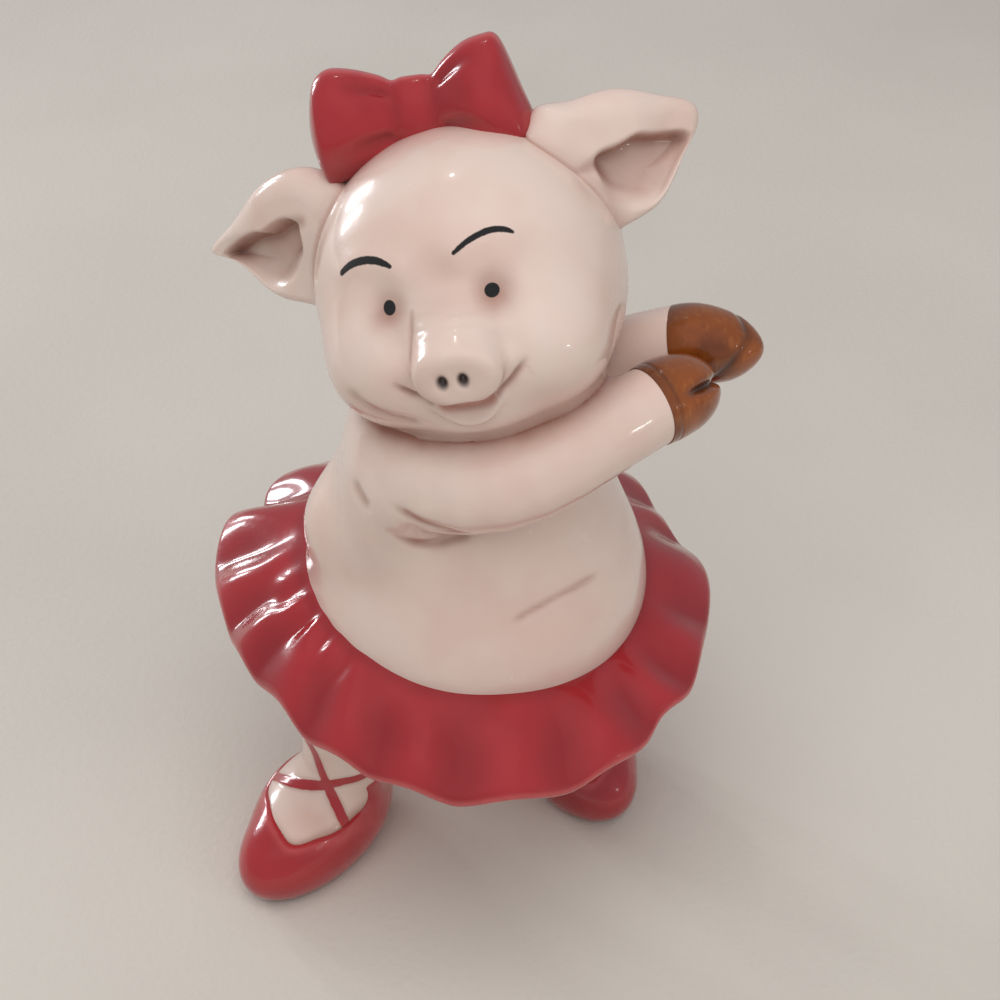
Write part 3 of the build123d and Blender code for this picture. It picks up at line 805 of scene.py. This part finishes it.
def make_arms():
    """Arms: tubes along their splines. The rays of each ring run on to where arm, trunk and jaw together
    end, at most a fillet's reach past the tube. At the shoulder the right arm sinks under the body."""
    skin = skin_glaze("arm_pink_glaze")
    shoulder_round = 3.0

    def right_form(p):
        sunk = 0.3 * ease((-3.0 - p[..., 0]) / 5.0)
        f = joined(right_arm_form(p), trunk_form(p), shoulder_soft(p)) + sunk
        return joined(f, head_form(p) + CREASE_GAP, JAW_SOFT)

    def left_form(p):
        f = joined(left_arm_form(p), trunk_form(p), ARM_SOFT)
        return joined(f, head_form(p) + CREASE_GAP, JAW_SOFT)

    for side, path, radii, rows, form in (
        ("right", RIGHT_ARM, RIGHT_ARM_RADII, 140, right_form),
        ("left", LEFT_ARM, LEFT_ARM_RADII, 80, left_form),
    ):
        rings, _, _ = tube(path, radii, rows // STEP, 110 // STEP, shoulder_round, 0.0)
        axis = rings.mean(axis=1, keepdims=True)
        rays = rings - axis
        radius = length_of(rays)
        rays = rays / radius[..., None]
        reach = surface_along(form, axis, rays, radius + FILLET_REACH, 12)
        reach = reach + body_relief(axis + reach[..., None] * rays)
        p = axis + reach[..., None] * rays
        lay_piece(side + "_arm_tube", p, [side + "_arm"], skin, {"blush_and_shade": body_blush_and_shade(p)})


# Tips of the trotters, and the radii of a trotter that lies against the other one.
RIGHT_TIP = (27.5, -4.0, 73.4)
LEFT_TIP = (33.8, 2.0, 73.3)
TROTTER_RADII = (4.8, 4.4)


def split_toes(at, turn, radius):
    """Right trotter's cleft: gap to the plane through its axis that parts the toes, and its strength, which
    grows from 1.5 mm along it."""
    return np.abs(np.sin(turn - np.radians(38))) * radius, ease((at - 1.5) / 4.5)


def far_toe(at, turn, radius):
    """Left trotter's cleft: gap to a curve round its end that sets off the far toe, and its strength, which
    fades away from the curve's middle."""
    away = np.abs((np.degrees(turn) - 60 + 180) % 360 - 180)
    return np.abs(at - 9.1 + 1.75 * (away / 60) ** 2), 0.22 * ease((125 - away) / 40) * np.ones_like(radius)


def make_trotter(side, arm, tip, length, radii, round_end, cleft, rim_depth, beside, streak_turn):
    """Trotter: a short tube that sets out along the arm and rounds off, with a cleft between two toes and a
    thin rim line by the wrist. The glaze darkens in both, partly pooled glaze and partly painted shade, and
    painted shade darkens it beside the other trotter, near the wrist and on one side."""
    wrist = arm[-1]
    heading = unit(tip - wrist)
    path = wrist + length * np.array([0, 0.12, 0.5, 1.0])[:, None] * heading
    path[0] = wrist - 0.9 * unit(arm[-1] - arm[-2])
    rings, at, turn = tube(path, radii, 120 // STEP, 140 // STEP, 0.3, round_end)
    line = rings.mean(axis=1, keepdims=True)
    radius = length_of(rings - line)
    gap, strength = cleft(at[:, None], turn[None, :], radius)
    depth = hump(gap, 0.62) * strength
    rim = rim_depth * hump(at - 1.4, 0.22)[:, None] * np.ones_like(gap)
    drawn_in = (1 - 0.2 * depth - 0.03 * rim)[..., None]
    rings = line + (rings - line) * drawn_in - 0.9 * depth[..., None] * heading
    # Painted shade: darker beside the other trotter, near the wrist and on the side turned away; with the
    # cleft and rim it makes the pool mark.
    shade_beside = fade(limb(rings, beside, TROTTER_RADII), 0.9)
    shade = 0.35 * ease(1 - at / 3.0)[:, None] + 0.3 * ease(np.cos(turn - np.radians(115)))[None]
    pool_and_shade = 0.95 * depth / max(depth.max(), 0.5) + 0.5 * rim + 0.45 * shade_beside + shade
    name = side + "_trotter_hoof"
    glaze = hoof_glaze(name + "_brown_glaze", streak_turn)
    lay_piece(name, rings, [side + "_trotter"], glaze, {"pool_and_shade": np.clip(pool_and_shade, 0, 1)})


# Outlines of the ears and of their bowls in each ear's plane: x towards the pig's left, y up.
RIGHT_EAR_EDGE = np.array([
    (-0.4, 7.8), (-4.7, 8.4), (-9.7, 6.8), (-15.6, 3.3), (-20.2, 0.7), (-16.6, -0.5), (-13.8, -2.4),
    (-11.4, -4.7), (-9.0, -6.0), (-5.3, -6.7), (-0.5, -6.2), (2.2, -2.5), (2.6, 2.0), (1.8, 5.8),
])
LEFT_EAR_EDGE = np.array([
    (-2.3, 8.4), (0.9, 7.7), (4.7, 7.0), (8.2, 5.6), (11.6, 3.1), (14.7, -0.2), (14.2, -1.4), (12.0, -3.1),
    (8.6, -5.6), (5.5, -7.2), (1.8, -7.0), (-1.2, -5.6), (-3.6, -2.0), (-4.4, 2.5), (-3.8, 6.3),
])
RIGHT_EAR_BOWL = np.array([
    (-16.6, 0.2), (-11.2, 1.8), (-8.5, 1.9), (-5.6, 2.8), (-3.8, 2.0), (-4.0, -0.1), (-5.6, -1.5),
    (-7.6, -3.2), (-10.6, -4.0), (-13.3, -2.5), (-15.3, -0.9),
])
LEFT_EAR_BOWL = np.array([
    (1.2, 0.8), (3.8, 0.8), (6.3, 0.8), (8.6, -0.3), (12.0, -2.1), (10.2, -4.6), (7.9, -6.2), (5.4, -6.2),
    (3.4, -5.2), (1.6, -3.7), (0.9, -1.6),
])


def signed_gap(flat, middle, loop):
    """Distance in a plane to a closed line of points round a middle, less than 0 inside it."""
    spoke = loop[:-1] - middle
    here = flat - middle
    bearing = np.arctan2(here[..., 1], here[..., 0])
    spoke_bearing = np.arctan2(spoke[:, 1], spoke[:, 0])
    span = np.interp(bearing, spoke_bearing, length_of(spoke), period=2 * np.pi)
    return near_path(flat, loop)[0] * np.sign(length_of(here) - span)


def make_ear(side, seat, edge, middle, bowl, notch):
    """Ear: an outline splined round the middle of its bowl. From the middle of the front over the edge to
    the middle of the back, the height is the bowl's floor, a fat roll, widest along the top and thin at the
    tip, a round edge and a crowned back. The bowl lies inside its own splined outline, sharp above and soft
    below, and runs out in a notch. At the head the leaf spreads into a fillet."""
    knots = way_along(np.vstack([edge, edge[:1]]))
    cols = 260 // STEP
    at = np.linspace(0, knots[-1], cols, endpoint=False)
    line = closed_spline(knots[:-1], edge, at, knots[-1])
    out = line - middle
    radius = length_of(out)
    top = ease(0.5 + 0.7 * out[:, 1] / radius)
    tip = ease((np.abs(line[:, 0]) / np.abs(edge[:, 0]).max() - 0.45) / 0.5)
    wide = (1.2 + 2.4 * top) * (1 - 0.45 * tip)
    tall = (0.9 + 1.5 * top) * (1 - 0.5 * tip)
    rows = 60 // STEP
    front = np.sin(0.5 * np.pi * np.arange(1, rows + 1) / rows)[:, None] * np.ones(cols)
    depth = (1 - front) * radius
    flat = middle + front[..., None] * out
    bowl_line = closed_spline(np.arange(len(bowl)), bowl, np.linspace(0, len(bowl), 67), len(bowl))
    rim = signed_gap(flat, middle, bowl_line)
    upper = ease(0.5 + 0.25 * (flat - middle)[..., 1])
    inside = ease(0.5 - rim / (2.8 - 1.5 * upper)) * ease((depth - 0.1) / 0.8)
    gap, along = near_path(flat, notch)
    front_z = tall * quarter_round(depth / wide) - 1.1 * hump(gap, 0.8) * (1 - along)
    back_z = -0.9 * quarter_round(depth / 1.4) - 1.7 * ease(depth / 5.0)
    thinnest = 0.7
    floor = np.maximum(-1.5, back_z + thinnest)
    front_z = front_z - (front_z - floor) * inside
    back_z = back_z[-2::-1]
    share = np.concatenate([front, front[-2::-1]])
    z = np.concatenate([front_z, back_z])
    face = np.concatenate([np.ones_like(front_z), -np.ones_like(back_z)])
    flat = middle + share[..., None] * out
    z = z - 0.012 * flat[..., 0] ** 2
    q = stand_ear(np.concatenate([flat, z[..., None]], axis=-1), *seat)
    fillet = 1.9 * fade(head_base(q), 1.5)
    flat = flat + (0.6 * fillet * share**4)[..., None] * (out / radius[:, None])
    q = stand_ear(np.concatenate([flat, (z + face * fillet)[..., None]], axis=-1), *seat)
    # Red-brown in the bowl and along the root, partly the figure's own wash and partly painted shade, darkest
    # as painted shadow under the roll.
    stain_and_shade = np.maximum(0.4 * inside + 0.4 * upper * hump(rim + 0.2, 1.0), 0.5 * hump(gap, 1.0))
    stain_and_shade = np.concatenate([stain_and_shade, np.zeros_like(back_z)])
    marks = {"blush_and_shade": np.maximum(stain_and_shade, 0.5 * fade(head_base(q), 1.6))}
    name = side + "_ear_leaf"
    glaze = skin_glaze(name + "_pink_glaze")
    lay_piece(name, from_head(q), [side + "_ear"], glaze, marks)


# Sections of the bow from lobe to lobe: place along x, top, bottom and half depth.
BOW_SECTIONS = np.array([
    (-12.3, 2.4, -5.2, 2.2), (-11.6, 3.6, -6.6, 3.0), (-9.9, 5.3, -7.0, 3.8), (-7.9, 5.4, -6.6, 4.0),
    (-5.2, 4.6, -5.8, 3.4), (-2.8, 3.7, -5.2, 2.6), (0.0, 3.4, -5.0, 2.7), (2.3, 3.7, -5.0, 2.5),
    (4.2, 5.0, -5.2, 3.2), (6.1, 6.1, -5.6, 4.0), (8.7, 6.6, -6.2, 4.0), (10.2, 5.6, -6.5, 3.4),
    (11.6, 1.2, -6.2, 2.6), (12.6, -1.0, -4.8, 2.0),
])
BOW_PLACE = np.array([-2.8, 0.6, 20.0])


def make_bow():
    """Bow: one surface carried along x from lobe to lobe. Each section is a flattened oval between splines,
    pinched each side of a knot, with pleats that fan out of the pinches."""
    rows = 200 // STEP
    cols = 120 // STEP
    first = BOW_SECTIONS[0, 0]
    last = BOW_SECTIONS[-1, 0]
    x = first + (last - first) * crowded(rows)
    top, low, deep = spline_through(BOW_SECTIONS[:, 0], BOW_SECTIONS[:, 1:], x).T[..., None]
    end = quarter_round(np.minimum(x - first, last - x) / 1.6)[:, None]
    turn = np.linspace(0, 2 * np.pi, cols, endpoint=False)[None]
    fullness = 0.95
    bulge_y = np.sign(np.cos(turn)) * np.abs(np.cos(turn)) ** fullness
    bulge_z = np.sign(np.sin(turn)) * np.abs(np.sin(turn)) ** fullness
    lobe = ease((np.abs(x) - 2.3) / 1.2)[:, None] * ease((9.5 - np.abs(x)) / 6.0)[:, None]
    pleats = -0.5 * np.maximum(0, np.cos(5 * turn + 0.6)) ** 2 * lobe
    groove = -0.22 * (hump(x + 2.4, 0.8) + hump(x - 2.1, 0.8))[:, None] * np.ones_like(turn)
    swell = 1 + (pleats + groove) / np.maximum(deep, 1.5)
    forward = 1.3 * ease((x - 1.5) / 6.0)[:, None] * ease(0.5 - 0.5 * bulge_z)
    y = deep * end * bulge_y * swell - forward
    z = (top + low) / 2 + (top - low) / 2 * end * bulge_z * swell
    q = np.stack([x[:, None] + np.zeros_like(z), y, z], axis=-1) + BOW_PLACE
    edge = 0.6 * ease((np.abs(np.sin(turn)) - 0.86) / 0.12)
    # Dark red in the pleats and the grooves by the knot: pooled glaze and painted shade.
    marks = {"pool_and_shade": np.clip(-(pleats + groove), 0, 1), "edge": edge}
    glaze = red_glaze("bow_red_glaze")
    lay_piece("hair_bow_ribbon", from_head(q), ["hair_bow"], glaze, marks)


# The tutu by the angle from +X in degrees: hem radius and height, waist height, valleys of the ruffles.
HEM = np.array([
    (6, 30.5, 33.8), (14, 30.2, 34.2), (26, 28.9, 34.2), (41, 31.0, 34.6), (60, 31.4, 35.0), (80, 31.7, 35.4),
    (100, 31.9, 36.0), (115, 31.7, 36.6), (127, 31.9, 37.2), (136, 31.8, 37.4), (143, 33.4, 37.4),
    (148, 33.7, 37.0), (152, 32.8, 36.6), (158, 34.2, 37.2), (165, 34.7, 37.0), (173, 34.1, 36.4),
    (181, 33.0, 35.6), (189, 31.9, 35.0), (205, 30.7, 34.6), (218, 30.0, 34.6), (229, 30.7, 34.0),
    (245, 30.9, 33.2), (262, 31.8, 32.2), (275, 32.1, 32.0), (289, 32.2, 32.2), (300, 31.9, 32.8),
    (311, 31.5, 33.2), (318, 30.3, 33.5), (326, 30.7, 33.6), (339, 30.1, 33.8), (355, 30.0, 33.8),
])
WAIST = np.array([
    (4, 41.2), (40, 42.2), (90, 43.4), (140, 44.6), (180, 45.0), (205, 44.3), (225, 43.3), (239, 42.5),
    (253, 41.4), (268, 40.7), (283, 40.2), (300, 39.3), (315, 38.8), (331, 39.0), (347, 40.2),
])
WAIST_RADIUS = 19.6
FOLD_VALLEYS = np.array([
    20, 36, 57, 80, 101, 126, 151, 174, 193, 209, 229.5, 246.6, 266.5, 291.3, 314.3, 330.3, 351,
])


def make_tutu():
    """Tutu: a closed strip round the waist. Each section runs out to a round hem and back beneath, and
    waist and hem are splines of the angle. Between two valleys a ruffle rises as a cosine wave, more
    towards the hem, and at the front left the strip is gathered in finer waves."""
    cols = 48 // STEP
    angle = np.linspace(0, 360, 720 // STEP, endpoint=False)
    around = np.radians(angle)[:, None]
    hem_r, hem_z = closed_spline(HEM[:, 0], HEM[:, 1:], angle, 360).T[..., None]
    waist_z = closed_spline(WAIST[:, 0], WAIST[:, 1], angle, 360)[:, None] - 1.5
    out = (1 - np.cos(np.pi * np.arange(cols + 1) / cols)) / 2
    share = np.concatenate([out, out[-2:0:-1]])[None]
    face = np.concatenate([np.ones(cols + 1), -np.ones(cols - 1)])[None]
    valleys = np.concatenate([FOLD_VALLEYS[-1:] - 360, FOLD_VALLEYS, FOLD_VALLEYS[:1] + 360])
    bent = angle[:, None] + 3.0 * np.sin(4.2 * share + 3 * around) * (1 - share)
    crest = (0.5 - 0.5 * np.cos(2 * np.pi * np.interp(bent, valleys, np.arange(len(valleys))))) ** 0.8
    gather = hump(angle - 210, 24)[:, None] * np.cos(32 * around + np.radians(50 * np.sin(5 * around)))
    swing = 1.4 + 0.5 * hump(angle - 205, 48)[:, None] + 0.3 * np.sin(3 * around)
    rise = ease((share - 0.08) / 0.7) * (1 - 0.35 * ease((share - 0.75) / 0.25))
    ruffle = swing * (crest - 0.55) * rise + 0.5 * gather * hump(share - 0.32, 0.16)
    length = hem_r - WAIST_RADIUS
    half = 1.9 - 0.85 * share
    half = half * quarter_round((1 - share) * length / half) * quarter_round(share * length / 0.8)
    middle = waist_z + (hem_z + 0.6 - waist_z) * (0.5 * share + 0.5 * share**2) + ruffle
    slope = np.arctan2((waist_z - hem_z) * (0.5 + share), length)
    r = WAIST_RADIUS + length * share + face * half * np.sin(slope)
    z = middle + face * half * np.cos(slope)
    rings = np.stack([r * np.cos(around), r * np.sin(around), z], axis=-1)
    # Painted shade in the valleys of the ruffles and in a dark line just out from the waist, with some pooled
    # glaze.
    pool_and_shade = 0.6 * (1 - crest) * ease((share - 0.15) / 0.5) + 0.5 * hump(share - 0.14, 0.08)
    marks = {"pool_and_shade": np.clip(pool_and_shade, 0, 1), "edge": 0.6 * ease((share - 0.94) / 0.05)}
    glaze = red_glaze("tutu_red_glaze")
    lay_piece("tutu_ruffle", rings, ["tutu_skirt"], glaze, marks, hoop=True)


# The right slipper's opening seen from above, toe towards -Y, then its middle, top edge and heel.
SLIPPER_MOUTH = np.array([
    (1.9, -12.9), (3.7, -10.6), (4.6, -8.7), (5.2, -6.8), (5.5, -5.0), (5.9, -2.0), (5.4, 1.2),
    (3.4, 4.9), (-0.6, 6.8), (-4.8, 5.4), (-6.8, 1.2), (-7.4, -4.0), (-6.6, -7.8), (-4.6, -9.7),
    (-2.0, -11.7), (0.4, -12.7),
])
MOUTH_MIDDLE_Y = -2.5
SLIPPER_TOP = 13.5
HEEL_REACH = 8.65

# How far a surface stands out where it shows, and sinks in where the other one covers it.
PROUD = 0.12
SUNK = 0.5

# The legs from heel to hip, and the slipper ribbons, which cross on the instep and meet behind the ankle.
RIGHT_LEG = np.array([(-19.1, -8.2, 6.5), (-17.6, -7.8, 13.0), (-16.4, -6.6, 20.0), (-9.0, -2.2, 36.0)])
LEFT_LEG = np.array([(11.2, 4.6, 6.5), (11.2, 4.6, 13.0), (8.0, 3.0, 36.0)])
RIGHT_RIBBONS = (
    (
        (-27.3, -7.9, 9.7), (-24.5, -10.9, 12.0), (-22.1, -12.2, 13.0), (-19.7, -13.0, 13.9),
        (-17.3, -13.3, 15.0), (-14.8, -12.9, 15.5), (-12.0, -11.1, 16.6), (-10.0, -7.5, 17.9),
        (-10.2, -2.3, 19.1), (-16.3, 0.8, 20.7),
    ),
    (
        (-17.1, -15.5, 8.3), (-18.0, -14.6, 10.4), (-19.2, -13.3, 13.1), (-20.4, -12.3, 16.7),
        (-21.3, -11.3, 19.3), (-23.0, -8.0, 20.4), (-22.8, -4.2, 20.8), (-20.0, -0.7, 21.0),
        (-16.3, 0.8, 20.7),
    ),
)
LEFT_RIBBONS = (
    (
        (17.4, -5.6, 9.3), (15.4, -3.9, 10.4), (12.5, -2.0, 13.3), (9.5, -2.1, 15.2), (6.5, -0.8, 16.2),
        (4.2, 2.4, 16.9), (4.7, 7.5, 17.8), (8.4, 10.6, 18.6), (11.4, 10.8, 18.8),
    ),
    (
        (12.3, -6.1, 7.8), (12.9, -3.5, 10.4), (13.8, -1.5, 14.2), (16.1, 0.4, 16.0), (17.4, 4.0, 17.0),
        (16.2, 7.9, 17.7), (13.8, 10.1, 18.3), (11.4, 10.8, 18.8),
    ),
)
RIBBON_HALF_WIDTH = 0.68


def mouth_gap(q, mirror):
    """Near distance to the slipper's opening seen from above, less than 0 inside it: the way from its
    middle less a closed spline of the bearing."""
    rim = SLIPPER_MOUTH * (mirror, 1) - (0, MOUTH_MIDDLE_Y)
    bearing = np.arctan2(rim[:, 1], rim[:, 0])
    order = np.argsort(bearing)
    x = q[..., 0]
    y = q[..., 1] - MOUTH_MIDDLE_Y
    reach = closed_spline(bearing[order], length_of(rim)[order], np.arctan2(y, x), 2 * np.pi)
    return 0.8 * (np.hypot(x, y) - reach)


def make_foot(side, ankle, leg_path, leg_radii, toe_reach, toe_turn, mirror, ribbons):
    """Leg and slipper from one form: an oval foot with a full heel, flat at the sole and run into the leg.
    Rays from inside it stop at the form. Outside the slipper's opening the slipper stands proud and the leg
    sinks in, and inside it they change places, so the line between them is sharp."""
    ankle = np.array([ankle[0], ankle[1], 0.0])
    turn = turned("z", toe_turn)

    def foot_form(p):
        q = (p - ankle) @ turn
        middle = (-0.7 * mirror, (HEEL_REACH - toe_reach) / 2, 4.1)
        sole = oval(q, middle, (7.3, (HEEL_REACH + toe_reach) / 2, 7.2))
        instep = oval(q, (-2.15 * mirror, -3.0, 5.0), (7.0, 8.0, 7.0))
        f = joined(joined(sole, instep, 3.0), limb(p, leg_path, leg_radii), 3.0)
        return -joined(-f, p[..., 2], 0.9)

    start = ankle + np.array([0, MOUTH_MIDDLE_Y, 5.2]) @ turn.T
    longest = 44.0
    rays = ray_fan(leg_path[-1] - start, (1, 0, 0), 190 // STEP, 240 // STEP, 1.25)
    reach = surface_along(foot_form, start, rays, longest)
    p = start + reach[..., None] * rays
    q = (p - ankle) @ turn
    height = q[..., 2]
    mouth = mouth_gap(q, mirror)
    outside = ease(mouth / 0.4 + 0.5) * ease(SLIPPER_TOP - height)
    outside = np.maximum(outside, ease(3.0 - height))

    slipper = np.minimum(reach, 0.5 * reach.max()) + PROUD * outside - SUNK * (1 - outside)
    shoe = start + slipper[..., None] * rays
    shoe[..., 2] = np.maximum(shoe[..., 2], 0)
    # Painted shade: the slipper darkens along its sole, by the floor. The edge mark lightens the rim of its
    # opening.
    marks = {"pool_and_shade": 0.7 * hump(height - 0.4, 0.9), "edge": 0.5 * hump(mouth - 0.4, 0.4) * outside}
    glaze = red_glaze(side + "_slipper_red_glaze")
    lay_piece(side + "_slipper_shoe", shoe, [side + "_slipper"], glaze, marks)

    gaps = [near_path(p, smooth_line(path, 41))[0] for path in ribbons]
    ribbon = np.minimum.reduce(gaps) - RIBBON_HALF_WIDTH
    leg = reach - SUNK * outside + PROUD * ease(0.5 - ribbon / 0.5)
    shin = start + leg[..., None] * rays
    shin[..., 2] = np.maximum(shin[..., 2], 0.2)
    # Red-brown along the slipper's opening and beside the ribbons, partly the figure's own wash and partly
    # painted shade.
    blush_and_shade = np.maximum(0.6 * hump(mouth, 0.8) * ease((12 - height) / 3.0), 0.4 * hump(ribbon, 0.5))
    marks = {"blush_and_shade": blush_and_shade, "ribbon": ribbon}
    glaze = leg_glaze(side + "_leg_glaze")
    lay_piece(side + "_leg_shin", shin, [side + "_leg"], glaze, marks)


# Lights in metres and watts: name, place, height looked at, width, height, power, colour, if mirrored.
DAYLIGHT = (0.94, 0.97, 1.0)
LAMPLIGHT = (1.0, 0.97, 0.92)
LIGHTS = (
    ("window_left", (-0.62, 0.42, 0.2), 0.06, 0.07, 0.2, 0.85, DAYLIGHT, True),
    ("window_far_left", (-0.52, 0.55, 0.2), 0.06, 0.07, 0.2, 0.85, DAYLIGHT, True),
    ("lamp_above", (-0.15, 0.36, 0.85), 0.08, 0.03, 0.03, 0.12, LAMPLIGHT, True),
    ("lamp_right", (0.75, -0.5, 0.3), 0.08, 0.03, 0.03, 0.12, LAMPLIGHT, True),
    ("broad_above", (-0.05, -0.2, 0.6), 0.05, 0.6, 0.6, 2.4, (1.0, 0.98, 0.96), False),
    ("fill_right", (0.5, -0.35, 0.3), 0.05, 0.4, 0.4, 0.5, (1.0, 0.97, 0.94), False),
)


def make_floor():
    """Plain pale floor, a little clouded."""
    reach = 3.0
    corners = [(-reach, -reach, 0), (reach, -reach, 0), (reach, reach, 0), (-reach, reach, 0)]
    mesh = bpy.data.meshes.new("studio_floor")
    mesh.from_pydata(corners, [], [(0, 1, 2, 3)])
    floor = add_object("studio_floor", mesh)
    matte = Glaze("floor_matte")
    shade = matte.mix(matte.between(matte.noise(9.0, 3.0), 0.3, 0.7), FLOOR_LIGHT, FLOOR_DARK)
    grain = matte.noise(900.0, 2.0)
    mesh.materials.append(matte.fire(shade, 0.7 + 0.1 * matte.noise(60.0), grain, 0.0001, 0.0))


def make_lights():
    """Two tall windows and two small lamps that the glaze mirrors, two broad lights that it doesn't, and an
    even sky. Each light's own -Z axis points at a place above the origin."""
    for name, place, look_height, wide, high, power, colour, mirrored in LIGHTS:
        light = bpy.data.lights.new(name, "AREA")
        light.shape = "RECTANGLE"
        light.size = wide
        light.size_y = high
        light.energy = power
        light.color = colour
        lamp = add_object(name, light)
        lamp.visible_glossy = mirrored
        back = unit(np.array(place) - (0, 0, look_height))
        right = unit(np.cross((0, 0, 1), back))
        grid = np.eye(4)
        grid[:3] = np.stack([right, np.cross(back, right), back, place], axis=1)
        lamp.matrix_world = Matrix(grid.tolist())
    world = bpy.data.worlds.new("studio_world")
    world.use_nodes = True
    sky = world.node_tree.nodes["Background"].inputs
    sky["Color"].default_value = (0.95, 0.97, 1.0, 1.0)
    sky["Strength"].default_value = 0.38
    bpy.context.scene.world = world


def make_camera():
    """The camera of the photograph: it looks down at the middle of the figure from the front."""
    lens = bpy.data.cameras.new("photo_camera")
    lens.sensor_fit = "HORIZONTAL"
    lens.angle = np.radians(32)
    lens.clip_start = 0.01
    lens.clip_end = 20
    camera = add_object("photo_camera", lens)
    look_down = np.radians(40)
    distance = 0.215
    aim_x = 0.0032
    aim_z = 0.052
    camera.location = (aim_x, -distance * np.cos(look_down), aim_z + distance * np.sin(look_down))
    camera.rotation_euler = (np.pi / 2 - look_down, 0, 0)
    bpy.context.scene.camera = camera
    bpy.context.scene.view_settings.view_transform = "Standard"


make_torso()
make_head()
make_arms()
make_trotter(
    "right", RIGHT_ARM, RIGHT_TIP, length=8.4, radii=(4.68, 4.85, 4.55, 4.3), round_end=5.0, cleft=split_toes,
    rim_depth=0.5, beside=(LEFT_WRIST, LEFT_TIP), streak_turn=-0.555,
)
make_trotter(
    "left", LEFT_ARM, LEFT_TIP, length=9.7, radii=(4.78, 4.9, 4.3, 2.9), round_end=4.2, cleft=far_toe,
    rim_depth=0.0, beside=(RIGHT_WRIST, RIGHT_TIP), streak_turn=0.272,
)
make_ear(
    "right", RIGHT_EAR_SEAT, RIGHT_EAR_EDGE, middle=(-9.0, -0.7), bowl=RIGHT_EAR_BOWL,
    notch=((-4.6, 2.2), (-2.4, 2.6)),
)
make_ear(
    "left", LEFT_EAR_SEAT, LEFT_EAR_EDGE, middle=(5.9, -2.6), bowl=LEFT_EAR_BOWL,
    notch=((1.6, 0.2), (-2.2, 0.9)),
)
make_bow()
make_tutu()
make_foot(
    "right", (-18.2, -7.6), RIGHT_LEG, leg_radii=(5.4, 5.6, 6.9, 7.5), toe_reach=18.35, toe_turn=-36,
    mirror=1, ribbons=RIGHT_RIBBONS,
)
make_foot(
    "left", (10.8, 5.0), LEFT_LEG, leg_radii=(5.4, 6.6, 7.0), toe_reach=16.35, toe_turn=30,
    mirror=-1, ribbons=LEFT_RIBBONS,
)
make_floor()
make_lights()
make_camera()
